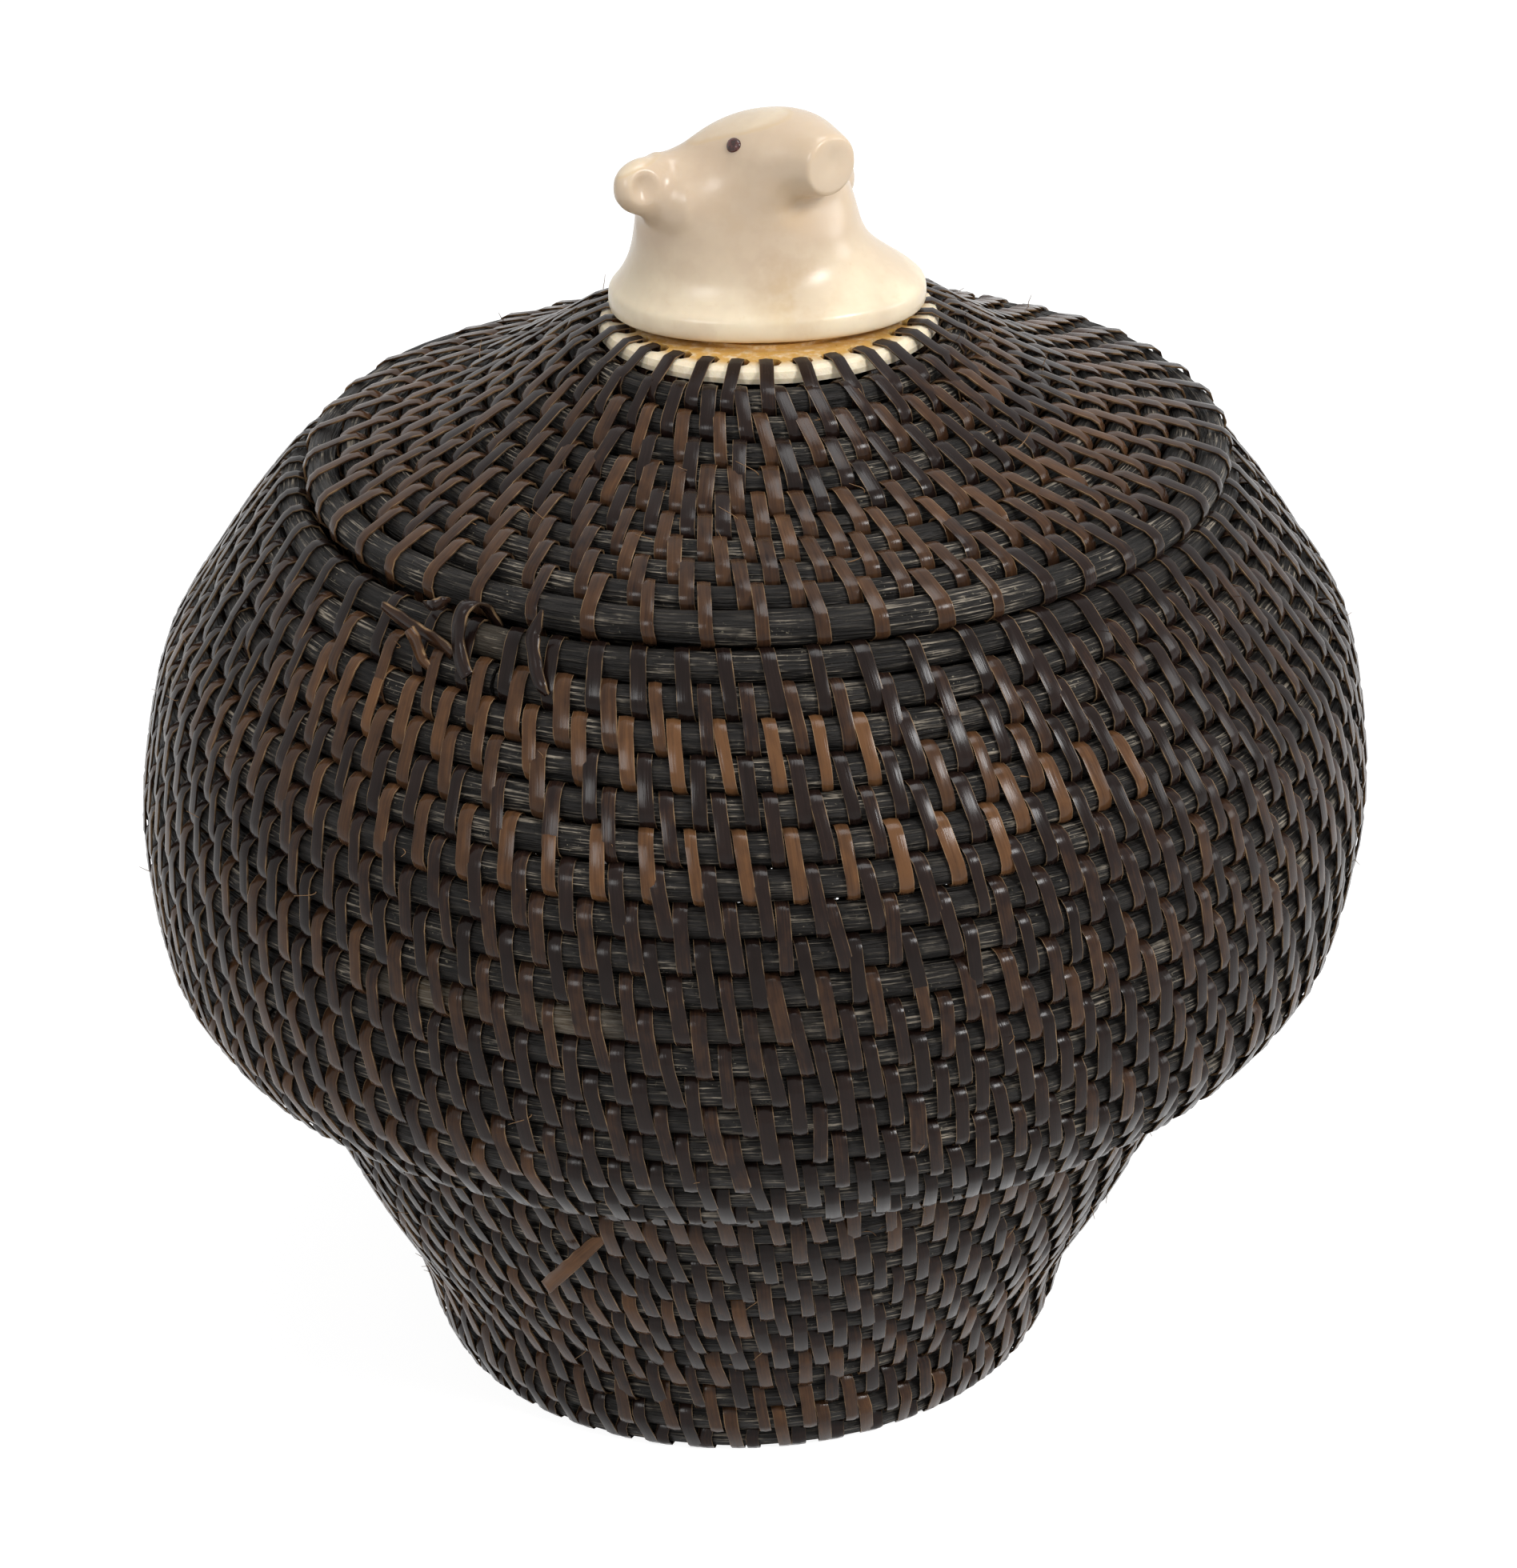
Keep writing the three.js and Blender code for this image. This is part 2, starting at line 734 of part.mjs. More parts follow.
const spliceShares = [0.12, 0.36, 0.6, 0.2, 0.62, 0.15, 0.55, 0.1];
const spliceKnots = [heel, wallKnots[5], wallKnots[6], footTop, bellyEdge, wallKnots[14], shoulder];
const wallSplices = spliceKnots.map((knot, i) => spliceTurn(wall, courseAt(knot), spliceShares[i]));
const rimCourse = wallCourses - rimLengthCourses;
wallSplices.push(spliceTurn(wall, rimCourse, spliceShares[7]));
const wallNames = [
  "floor_coil",
  "foot_coil_lower",
  "foot_coil_middle",
  "foot_coil_upper",
  "flare_coil",
  "belly_coil_lower",
  "belly_coil_upper",
  "shoulder_coil",
  "rim_rod",
];

const basket = new THREE.Group();
splicedRods(wall, wallSplices).forEach((geometry, i) => {
  const shape = i < 2 ? cut(geometry, tableUnder()) : geometry;
  basket.add(named(wallNames[i], shape, baleen));
});
basket.add(named("base_disc", baseDisc, ivory), named("base_lacing", baseLacing, strip));

const domeCourse = Math.floor(lidCourses / 2) - 1;
const lidBody = new THREE.Group();
lidBody.position.x = lidShift;
const [crownRod, domeRod] = splicedRods(lid, [spliceTurn(lid, domeCourse, spliceShares[0])]);
lidBody.add(
  named("crown_coil", crownRod, baleen),
  named("dome_coil", domeRod, baleen),
  named("lid_edge_rod", lidEdge.rod(lidEdge.firstTurn, lidEdge.lastTurn), baleen),
  named("lid_flange_coil", flange.rod(flange.firstTurn, flange.lastTurn), baleen),
  named("lid_disc", lidDisc, ivory),
  named("lid_lacing", lidLacing, strip),
);

const carving = new THREE.Group();
carving.position.set(finialX, 0, finialBottom);
carving.add(
  named("finial", finial, ivory),
  named("finial_peg", peg, ivory),
  named("right_eye", eyeBar(1, eyeDiameter, eyeProud), inlay),
  named("left_eye", eyeBar(-1, eyeDiameter, eyeProud), inlay),
);
lidBody.add(carving);

for (const [name, wound] of Object.entries({ wall, lid, lidEdge, flange })) {
  console.log(name + " coil: least gap between turns " + leastGap(wound).toFixed(3) + " mm");
}

const object = new THREE.Group();
object.add(basket, lidBody);
export default object;
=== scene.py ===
"""The looks of a covered basket coiled from baleen rod, with a carved ivory finial on its lid.

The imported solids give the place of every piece. Here the rods get their round and fibrous surface,
the thousands of flat binding strips are laid over them, the ivory gets its carved and polished forms,
and the stage is set.
"""

import math
import random

import bmesh
import bpy
import numpy as np
from bpy.props import FloatProperty, FloatVectorProperty, IntProperty, PointerProperty
from mathutils import Matrix, Vector
from mathutils.bvhtree import BVHTree


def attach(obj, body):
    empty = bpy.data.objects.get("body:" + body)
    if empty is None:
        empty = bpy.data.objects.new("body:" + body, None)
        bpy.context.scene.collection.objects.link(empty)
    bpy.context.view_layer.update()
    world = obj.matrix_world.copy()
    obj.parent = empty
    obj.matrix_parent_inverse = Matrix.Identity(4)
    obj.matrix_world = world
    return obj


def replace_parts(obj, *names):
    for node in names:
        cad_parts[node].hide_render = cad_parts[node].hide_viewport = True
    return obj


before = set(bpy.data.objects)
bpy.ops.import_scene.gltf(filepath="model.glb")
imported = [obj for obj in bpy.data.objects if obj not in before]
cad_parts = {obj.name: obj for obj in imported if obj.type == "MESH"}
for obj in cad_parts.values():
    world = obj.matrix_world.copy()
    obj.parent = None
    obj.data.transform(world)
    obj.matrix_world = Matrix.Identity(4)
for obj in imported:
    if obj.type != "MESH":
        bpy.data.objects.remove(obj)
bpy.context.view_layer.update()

bl_info = {
    "name": "Coiled Baleen Basket",
    "version": (1, 0, 0),
    "blender": (4, 5, 0),
    "location": "View3D > Sidebar > Basket",
    "description": "Builds the rods, binding strips, carved finial and stage of a coiled basket",
    "category": "Object",
}

MM = 0.001
TAU = 2 * math.pi
FRONT = -TAU / 4
PANEL_TAB = "Basket"

# The solids' own sizes, in millimetres, which the rods and strips repeat

CLIMB = 0.3
FRONT_SHARE = 0.5 - CLIMB / 2
TIP_SHARE = 0.35
LEAN = 0.038
LEAN_PIVOT = 50.5
ROD = 1.0
LID_ROD = 1.0
EDGE_ROD = 1.25
COURSE_PITCH = 2.68
LID_PITCH = 2.48
COURSE_GAP = 0.5
SEAT_GAP = 0.4
MOUTH = (37.3, 76.1)
FOOT = 25.5
HEEL = 2.2
LID_SETBACK = 1.65
LID_SHIFT = 0.7
LID_RISE = 9.5
FLANGE_CLEARANCE = 1.8
DISC_GAP = 0.4
LID_DISC_RADIUS = 13.5
BASE_DISC_RADIUS = 12.5
HOLE_INSET = 1.8
FOOT_WORN = 0.1
REST = ROD - FOOT_WORN * 2 * ROD
FLOOR_RISE = 0.9
LACE_HOLES = 30

# How much fuller the rods are than their solids, so that neighbours nearly touch
WALL_FULL = 0.29
LID_FULL = 0.13
EDGE_FULL = 0.1


def mix(a, b, share):
    return a + (b - a) * share


def through(start, *legs):
    """Knots of a line. Each leg is its end and places on the way, as shares of radius and height."""
    knots = [start]
    for end, *places in legs:
        begin = knots[-1]
        knots += [(mix(begin[0], end[0], a), mix(begin[1], end[1], b)) for a, b in places]
        knots.append(end)
    return knots


def axis_at(height):
    return LEAN * (height - LEAN_PIVOT)


def smooth_rows(rows, share):
    """A smooth curve through rows of numbers, at shares of the way from the first row to the last."""
    rows = np.array(rows, float)
    last = len(rows) - 1
    at = np.clip(share, 0, 1) * last
    low = np.minimum(np.floor(at).astype(int), last - 1)
    w = (at - low)[:, None]
    before, here, after, beyond = (rows[np.clip(low + k, 0, last)] for k in (-1, 0, 1, 2))
    pull, push = (after - before) / 2, (beyond - here) / 2
    bend = (2 * here - 2 * after + pull + push) * w**3 + (3 * after - 3 * here - 2 * pull - push) * w**2
    return bend + pull * w + here


class Profile:
    """A smooth line of radii and heights through knots, measured along its length."""

    def __init__(self, knots, spans=60):
        points = np.array(knots, float)
        last = len(points) - 1
        share = np.linspace(0, 1, last * spans + 1)
        straight = points[0] + (points[1] - points[0]) * share[:, None]
        self.points = straight if last == 1 else smooth_rows(points, share)
        steps = np.hypot(*np.diff(self.points, axis=0).T)
        self.lengths = np.concatenate([[0], np.cumsum(steps)])
        tangents = np.gradient(self.points, self.lengths, axis=0)
        self.tangents = tangents / np.hypot(*tangents.T)[:, None]
        self.length = self.lengths[-1]

    def at(self, distance):
        inside = np.clip(distance, 0, self.length)
        tangent = np.stack([np.interp(inside, self.lengths, self.tangents[:, i]) for i in (0, 1)], -1)
        tangent /= np.hypot(tangent[..., 0], tangent[..., 1])[..., None]
        point = np.stack([np.interp(inside, self.lengths, self.points[:, i]) for i in (0, 1)], -1)
        return point + tangent * (distance - inside)[..., None], tangent


class Coil:
    """The rod's path: level courses, with a climb at the back of each turn, as in the solids."""

    def __init__(self, profile, start, pitch, radius, courses, sense, facing, full):
        self.profile, self.start, self.pitch, self.radius = profile, start, pitch, radius
        self.courses, self.sense, self.facing, self.full = courses, sense, facing, full
        tip = CLIMB * 2 * radius * (1 - TIP_SHARE) / pitch
        self.first, self.last = -tip, courses - CLIMB + tip

    def azimuth(self, turn):
        return FRONT + self.sense * TAU * (turn - FRONT_SHARE)

    def section(self, turn):
        """Centre (radius, height), tangent, outward normal and rod radius at each turn."""
        turn = np.asarray(turn, float)
        whole = np.floor(turn)
        climb = np.maximum(0, (turn - whole - 1 + CLIMB) / CLIMB)
        wound = self.pitch * (whole + climb)
        under = np.maximum(0, -wound)
        over = np.maximum(0, wound - (self.courses - 1) * self.pitch)
        point, tangent = self.profile.at(self.start + wound + under / 2 - over / 2)
        point = point + sway(self.azimuth(turn), point[..., 1])
        normal = np.stack([tangent[..., 1], -tangent[..., 0]], -1) * self.facing
        return point, tangent, normal, self.radius + self.full - (under + over) / 2


# The small wander of hand-wound courses, outward and upward, as waves: how far, how many in a turn,
# where the first one starts, and over what height it comes round. It dies out below CALM_HEIGHT.
SWAY_OUT = [(0.16, 2, 0.6, 31), (0.1, 3, 0, -13), (0.05, 9, 0, 3.1)]
SWAY_UP = [(0.1, 3, 1.9, 23), (0.05, 7, 0, -2.3)]
CALM_HEIGHT = 8


def sway(azimuth, height):
    def wander(waves):
        return sum(far * np.sin(n * azimuth + start + height / rise) for far, n, start, rise in waves)

    calm = np.clip(height / CALM_HEIGHT, 0, 1)
    return np.stack([wander(SWAY_OUT) * calm, wander(SWAY_UP) * calm], -1)


def on_wall(radius, height, azimuth):
    return np.stack(
        [radius * np.cos(azimuth) + axis_at(height), radius * np.sin(azimuth), height + 0 * radius], -1
    )


# The wall's line from the floor up to the mouth, and the places on the lid's line from crown to edge
ARC = math.sqrt(0.5)
WALL_LEGS = [
    ((FOOT - HEEL, REST), (0.5, 0.6)),
    ((FOOT, REST + HEEL), (ARC, 1 - ARC)),
    ((37.9, 30.4), (0.12, 0.21), (0.43, 0.47), (0.71, 0.73)),
    ((44.3, 34.6), (0.24, 0.56), (0.6, 0.84)),
    ((48.6, 50.5), (0.37, 0.14), (0.67, 0.29), (0.88, 0.6)),
    ((46.5, 62.9), (0.36, 0.56)),
    (MOUTH, (0.3, 0.34), (0.63, 0.68)),
]
LID_PLACES = [(0.2, 0.28), (0.41, 0.53), (0.63, 0.71), (0.86, 0.87)]


def wall_coil():
    profile = Profile(through((BASE_DISC_RADIUS + DISC_GAP + ROD, REST + FLOOR_RISE), *WALL_LEGS))
    courses = round(profile.length / COURSE_PITCH) + 1
    return Coil(profile, 0, profile.length / (courses - 1), ROD, courses, -1, 1, WALL_FULL)


def lid_coils():
    """The dome's coil, its thick edge rod, and the flange courses that drop inside the mouth."""
    reach = ROD + EDGE_ROD + SEAT_GAP
    edge = (MOUTH[0] - LID_SETBACK, MOUTH[1] + math.sqrt(reach**2 - (LID_SETBACK - LID_SHIFT) ** 2))
    crown = (LID_DISC_RADIUS + DISC_GAP + LID_ROD, edge[1] + LID_RISE)
    profile = Profile(through(crown, (edge, *LID_PLACES)), spans=200)
    dome_length = profile.length - (LID_ROD + EDGE_ROD + COURSE_GAP)
    courses = math.floor(dome_length / LID_PITCH) + 1
    dome = Coil(profile, 0, dome_length / (courses - 1), LID_ROD, courses, 1, -1, LID_FULL)
    rim = Coil(profile, profile.length, 2 * EDGE_ROD + COURSE_GAP, EDGE_ROD, 1, 1, -1, EDGE_FULL)
    flange_radius = MOUTH[0] - ROD - FLANGE_CLEARANCE - LID_ROD
    drop = math.sqrt((LID_ROD + EDGE_ROD + COURSE_GAP) ** 2 - (edge[0] - flange_radius) ** 2)
    flange_pitch = 2 * LID_ROD + COURSE_GAP
    top = edge[1] - drop
    line = Profile([(flange_radius, top - flange_pitch), (flange_radius, top)])
    return dome, rim, Coil(line, 0, flange_pitch, LID_ROD, 2, 1, 1, LID_FULL)


WALL = wall_coil()
DOME, EDGE, FLANGE = lid_coils()

# The starter discs: radius of the lacing holes, radius of the rim, bottom and top
CROWN_HEIGHT = DOME.profile.points[0][1]
LID_DISC = (LID_DISC_RADIUS - HOLE_INSET, LID_DISC_RADIUS, CROWN_HEIGHT + 1.1, CROWN_HEIGHT + 2.2)
BASE_DISC = (BASE_DISC_RADIUS - HOLE_INSET, BASE_DISC_RADIUS, 1.3, 2.6)


# Mesh helpers


def finished(name, mesh, material, body):
    if body == "lid":
        mesh.transform(Matrix.Translation((LID_SHIFT * MM, 0, 0)))
    obj = bpy.data.objects.new(name, mesh)
    bpy.context.scene.collection.objects.link(obj)
    mesh.materials.clear()
    mesh.materials.append(material)
    mesh.shade_smooth()
    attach(obj, body)
    return obj


def to_mesh(bm, name):
    mesh = bpy.data.meshes.new(name)
    bm.to_mesh(mesh)
    bm.free()
    return mesh


def places_of(verts):
    return np.array([vert.co[:] for vert in verts])


def put(verts, places):
    for vert, place in zip(verts, places):
        vert.co = place


def smoothed(bm, verts, factor, turns=1):
    for _ in range(turns):
        bmesh.ops.smooth_vert(
            bm, verts=verts, factor=factor, use_axis_x=True, use_axis_y=True, use_axis_z=True
        )


def outside_out(mesh):
    bm = bmesh.new()
    bm.from_mesh(mesh)
    bmesh.ops.recalc_face_normals(bm, faces=bm.faces)
    bm.to_mesh(mesh)
    bm.free()


def points_of(mesh):
    points = np.zeros(len(mesh.vertices) * 3, np.float32)
    mesh.vertices.foreach_get("co", points)
    return points.reshape(-1, 3)


def set_points(mesh, points):
    mesh.vertices.foreach_set("co", np.asarray(points, np.float32).ravel() * MM)
    mesh.update()


def add_attribute(mesh, name, values):
    attribute = mesh.attributes.new(name, "FLOAT_COLOR", "POINT")
    attribute.data.foreach_set("color", np.asarray(values, np.float32).ravel())


ROD_ROUNDING = 3


def swept(name, lines):
    """One mesh of round rods, each through its points with its radii, made with a bevelled curve."""
    curve = bpy.data.curves.new(name, "CURVE")
    curve.dimensions = "3D"
    curve.bevel_depth = MM
    curve.bevel_resolution = ROD_ROUNDING
    curve.use_fill_caps = True
    for points, radii in lines:
        line = curve.splines.new("POLY")
        line.points.add(len(points) - 1)
        padded = np.concatenate([np.asarray(points) * MM, np.ones((len(points), 1))], 1)
        line.points.foreach_set("co", padded.astype(np.float32).ravel())
        line.points.foreach_set("radius", np.asarray(radii, np.float32))
    return baked(name, curve)


def baked(name, data, prepare=None):
    """The mesh of a curve, or of a mesh with modifiers that prepare adds."""
    holder = bpy.data.objects.new(name, data)
    bpy.context.scene.collection.objects.link(holder)
    if prepare:
        prepare(holder)
    mesh = bpy.data.meshes.new_from_object(holder.evaluated_get(bpy.context.evaluated_depsgraph_get()))
    bpy.data.objects.remove(holder)
    mesh.name = name
    return mesh


# Binding strips: each is a flat closed band round two neighbouring rods. Its path is given by which
# rod it goes round, the direction from that rod's centre, and how far down the band this is.
BAND_PATH = [
    ("new", -90, 0),
    ("new", -60, 0.1),
    ("new", -30, 0.2),
    ("new", 0, 0.3),
    ("old", 0, 0.7),
    ("old", 30, 0.8),
    ("old", 60, 0.9),
    ("old", 90, 1),
    ("old", 135, 0.85),
    ("old", 180, 0.65),
    ("new", 180, 0.35),
    ("new", 225, 0.15),
]
BAND_SIDES = 5

# Place across the band and depth under its face of each corner of its section
SECTION_ACROSS = [-1, 0, 1, 0.9, -0.9]
SECTION_DEPTH = [0.3, 0, 0.3, 1, 1]
STRIP_EDGE_ANGLE = math.radians(50)

# How unevenly the strips are cut and laid
THICKNESS_VARIES, WIDTH_VARIES, TAPER_VARIES = 0.3, 0.08, 0.16
LEAN_VARIES, PLACE_VARIES, TONE_VARIES = 0.25, 0.09, 0.06


def band_mesh(steps):
    """A closed band: a five-sided section spun full circle, laid round two rods later."""
    bm = bmesh.new()
    bmesh.ops.create_circle(bm, segments=BAND_SIDES, radius=0.3)
    bmesh.ops.rotate(bm, verts=bm.verts, matrix=Matrix.Rotation(TAU / 4, 3, "X"))
    bmesh.ops.translate(bm, verts=bm.verts, vec=(1, 0, 0))
    section = bm.verts[:] + bm.edges[:]
    bmesh.ops.spin(
        bm, geom=section, cent=(0, 0, 0), axis=(0, 0, 1), angle=TAU, steps=steps, use_merge=True
    )
    bmesh.ops.recalc_face_normals(bm, faces=bm.faces)
    return to_mesh(bm, "band")


def band_grid(mesh, steps):
    """Which step of the path and which side of the section each point of a band belongs to."""
    co = points_of(mesh)
    around = np.arctan2(co[:, 1], co[:, 0]) / TAU * steps
    section = np.arctan2(co[:, 2], np.hypot(co[:, 0], co[:, 1]) - 1) / TAU * BAND_SIDES
    side = np.rint(section - section.min()).astype(int) % BAND_SIDES
    return np.rint(around).astype(int) % steps, side


def copies(mesh, count, name):
    bm = bmesh.new()
    for _ in range(count):
        bm.from_mesh(mesh)
    bpy.data.meshes.remove(mesh)
    return to_mesh(bm, name)


def lay_bands(name, bands, material, body, sizes, seed):
    """One mesh of many closed bands, each with its path of places and faces as radius and height."""
    rng = np.random.default_rng(seed)
    places, faces, shares = bands["places"], bands["faces"], bands["shares"]
    count, steps = places.shape[:2]
    unit = band_mesh(steps)
    step, side = band_grid(unit, steps)
    mesh = copies(unit, count, name)
    thickness = sizes.strip_thickness / MM
    tall = rng.random(count) * THICKNESS_VARIES * thickness
    points = np.zeros((count, len(step), 3))
    marks = np.zeros((count, len(step), 4))
    marks[:, :, 0] = bands["tone"][:, None]
    marks[:, :, 3] = rng.random(count)[:, None]
    for v, (i, j) in enumerate(zip(step, side)):
        depth = (0.5 - SECTION_DEPTH[j]) * thickness + tall
        flat = places[:, i] + faces[:, i] * depth[:, None]
        narrowed = 1 - bands["taper"] * max(0.0, shares[i] - 0.5)
        sideways = SECTION_ACROSS[j] * bands["width"] * narrowed / 2 + (shares[i] - 0.5) * bands["skew"]
        points[:, v] = on_wall(flat[:, 0], flat[:, 1], bands["azimuth"] + sideways / flat[:, 0])
        marks[:, v, 1] = 0.5 + SECTION_ACROSS[j] / 2
        marks[:, v, 2] = shares[i]
    points[:, :, 2] = np.maximum(points[:, :, 2], 0)
    set_points(mesh, points)
    add_attribute(mesh, "band", marks)
    outside_out(mesh)
    obj = finished(name, mesh, material, body)
    mesh.set_sharp_from_angle(angle=STRIP_EDGE_ANGLE)
    return obj


def strip_height(sizes):
    """How far the middle of a strip lies off the rod that it binds."""
    return (sizes.strip_clearance + sizes.strip_thickness / 2) / MM


def turned(outward, along, degrees):
    angle = math.radians(degrees)
    return outward * math.cos(angle) + along * math.sin(angle)


def round_rods(rows, sizes):
    """The path of each band round its two rods."""
    new, old = rows["new"], rows["old"]
    along = old - new
    along = along / np.hypot(*along.T)[:, None]
    outward = np.stack([along[:, 1], -along[:, 0]], -1)
    outward *= np.sign((outward * rows["normal"]).sum(-1))[:, None]
    away = strip_height(sizes)
    places, faces = [], []
    for which, degrees, _ in BAND_PATH:
        face = turned(outward, along, degrees)
        places.append(rows[which] + face * (rows[which + "_radius"] + away)[:, None])
        faces.append(face)
    bands = {key: rows[key] for key in ("azimuth", "width", "skew", "tone", "taper")}
    shares = [share for _, _, share in BAND_PATH]
    return {**bands, "places": np.stack(places, 1), "faces": np.stack(faces, 1), "shares": shares}


# The directions from the rod's centre through which the lacing goes round it
LACE_DIRECTIONS = [-25, 5, 40, 85, 130, 175]


def lacing_bands(coil, disc, outward, sizes, seed):
    """The bands that tie a disc to the first course: through each hole and over the rim and the rod."""
    rng = np.random.default_rng(seed)
    hole, rim, low, high = disc
    near, far = (high, low) if outward > 0 else (low, high)
    azimuth = FRONT + TAU * np.arange(LACE_HOLES) / LACE_HOLES
    share = (azimuth - coil.azimuth(0)) / (coil.azimuth(1) - coil.azimuth(0)) % 1
    centre, tangent, normal, radius = coil.section(np.where(share > 1 + coil.first, share - 1, share))
    away = strip_height(sizes)
    over, under = near + outward * away, far - outward * away
    places = [(hole, under), (hole, over), (rim - 0.5, over)]
    faces = [(-0.7, -0.7 * outward), (-0.6, 0.8 * outward), (0, outward)]
    places = [np.broadcast_to(place, centre.shape) for place in places]
    faces = [np.broadcast_to(face, centre.shape) for face in faces]
    for degrees in LACE_DIRECTIONS:
        face = turned(normal, tangent, degrees)
        faces.append(face)
        places.append(centre + face * (radius + away)[:, None])
    places.append(np.broadcast_to((rim, under), centre.shape))
    faces.append(np.broadcast_to((0, -outward), centre.shape))
    return {
        "places": np.stack(places, 1),
        "faces": np.stack(faces, 1),
        "shares": np.linspace(0, 1, len(places)),
        "azimuth": azimuth + 0.15 * rng.standard_normal(LACE_HOLES) / rim,
        "width": (sizes.strip_width / MM) * (1 + 0.06 * rng.standard_normal(LACE_HOLES)),
        "skew": 0.5 + 0.2 * rng.standard_normal(LACE_HOLES),
        "taper": np.zeros(LACE_HOLES),
        "tone": 0.2 + 0.15 * rng.random(LACE_HOLES),
    }


def bind(name, rows, material, body, sizes, seed):
    return lay_bands(name, round_rods(rows, sizes), material, body, sizes, seed)


# How far apart the stitches of a turn stand: at what radius, how much more, over what radius
WALL_SPACING = (2.9, 14, 0.8, 34.6)
LID_SPACING = (2.9, 15, 1.2, 20)
STITCH_MARGIN = 0.02


def stitch_turns(coil, seed, spacing, advance):
    """The turns at which a coil is stitched, each turn's stitches beside those of the turn before."""
    rng = random.Random(seed)
    first, last = 1 + STITCH_MARGIN, coil.last - STITCH_MARGIN
    least, start, more, reach = spacing

    def next_turn(turn):
        return turn + 1 + advance / (TAU * coil.section(turn)[0][..., 0])

    def wanted(low, high):
        radius = coil.section((low + high) / 2)[0][0]
        return round((high - low) * TAU * radius / (least + (radius - start) / reach * more))

    end = float(next_turn(first))
    count = wanted(first, end)
    chunk = [first + (end - first) * k / count for k in range(count)]
    turns = list(chunk)
    while chunk[0] < last:
        chunk = [float(t) for t in next_turn(np.array(chunk))]
        end = float(next_turn(chunk[0]))
        count = wanted(chunk[0], end)
        while len(chunk) != count:
            gaps = [b - a for a, b in zip(chunk, [*chunk[1:], end])]
            order = sorted(range(len(gaps)), key=lambda k: gaps[k] + rng.random() * 0.3 / len(gaps))
            if len(chunk) < count:
                k = order[-1]
                chunk.insert(k + 1, chunk[k] + gaps[k] / 2)
            else:
                chunk.pop(max(1, order[0]))
        for _ in range(3):
            around = zip(chunk, chunk[1:], [*chunk[2:], end])
            chunk = [chunk[0], *((a + 2 * b + c) / 4 for a, b, c in around)]
        turns.extend(chunk)
    return np.array([t for t in turns if first <= t <= last])


# How often a run of stitches is cut from a paler splint, and how many stitches a run has
PALE_CHANCE = 0.14
RUN_LENGTHS = (10, 50)


def tones(turns, seed):
    """The tone of each stitch: long runs cut from one splint, from near black to a warm brown."""
    rng = random.Random(seed)
    values = []
    while len(values) < len(turns):
        base = rng.uniform(0.0, 0.5) if rng.random() > PALE_CHANCE else rng.uniform(0.5, 0.75)
        values.extend([base] * rng.randint(*RUN_LENGTHS))
    uneven = np.array([rng.gauss(0, TONE_VARIES) for _ in turns])
    return np.clip(np.array(values[: len(turns)]) + uneven, 0, 1)


# Runs of stitches cut from paler splints, as the turns that they cover and their tone
WALL_PALE_RUNS = [
    (34.315, 34.4, 1.0),
    (34.4, 34.5, 0.8),
    (35.37, 35.5, 0.7),
    (31.285, 31.42, 0.85),
    (31.42, 31.6, 0.65),
    (33.27, 33.31, 0.7),
    (32.24, 32.29, 0.85),
    (33.4, 33.52, 0.6),
    (27.45, 27.6, 0.6),
    (24.44, 24.6, 0.6),
    (21.4, 21.56, 0.7),
    (8.4, 8.6, 0.6),
    (6.3, 6.5, 0.65),
]


def repaint(turns, tone, runs, seed):
    rng = random.Random(seed)
    painted = tone.copy()
    for low, high, value in runs:
        for k in np.flatnonzero((turns >= low) & (turns <= high)):
            painted[k] = value + rng.gauss(0, TONE_VARIES)
    return np.clip(painted, 0, 1)


def stitch_rows(turns, new_coil, old_coil, old_turns, sense_down, sizes, seed):
    """What each stitch binds: its azimuth, its two rods and how far its lower end stands aside."""
    rng = np.random.default_rng(seed)
    count = len(turns)
    azimuth = new_coil.azimuth(turns)
    skew = (sizes.strip_lean / MM) * (1 + LEAN_VARIES * rng.standard_normal(count)) * sense_down
    radius = new_coil.section(turns)[0][:, 0]
    new_turn = turns + new_coil.sense * (-skew / 2 / radius) / TAU
    old_turn = old_turns + old_coil.sense * (skew / 2 / radius) / TAU
    new, _, normal, new_radius = new_coil.section(new_turn)
    old, _, _, old_radius = old_coil.section(old_turn)
    return {
        "azimuth": azimuth + PLACE_VARIES * rng.standard_normal(count) / radius,
        "new": new,
        "old": old,
        "normal": normal,
        "new_radius": new_radius,
        "old_radius": old_radius,
        "skew": skew,
        "width": (sizes.strip_width / MM) * (1 + WIDTH_VARIES * rng.standard_normal(count)),
        "taper": TAPER_VARIES * rng.standard_normal(count),
        "tone": tones(turns, seed),
    }


def picked(rows, chosen):
    return {key: value[chosen] for key, value in rows.items()}


# Materials


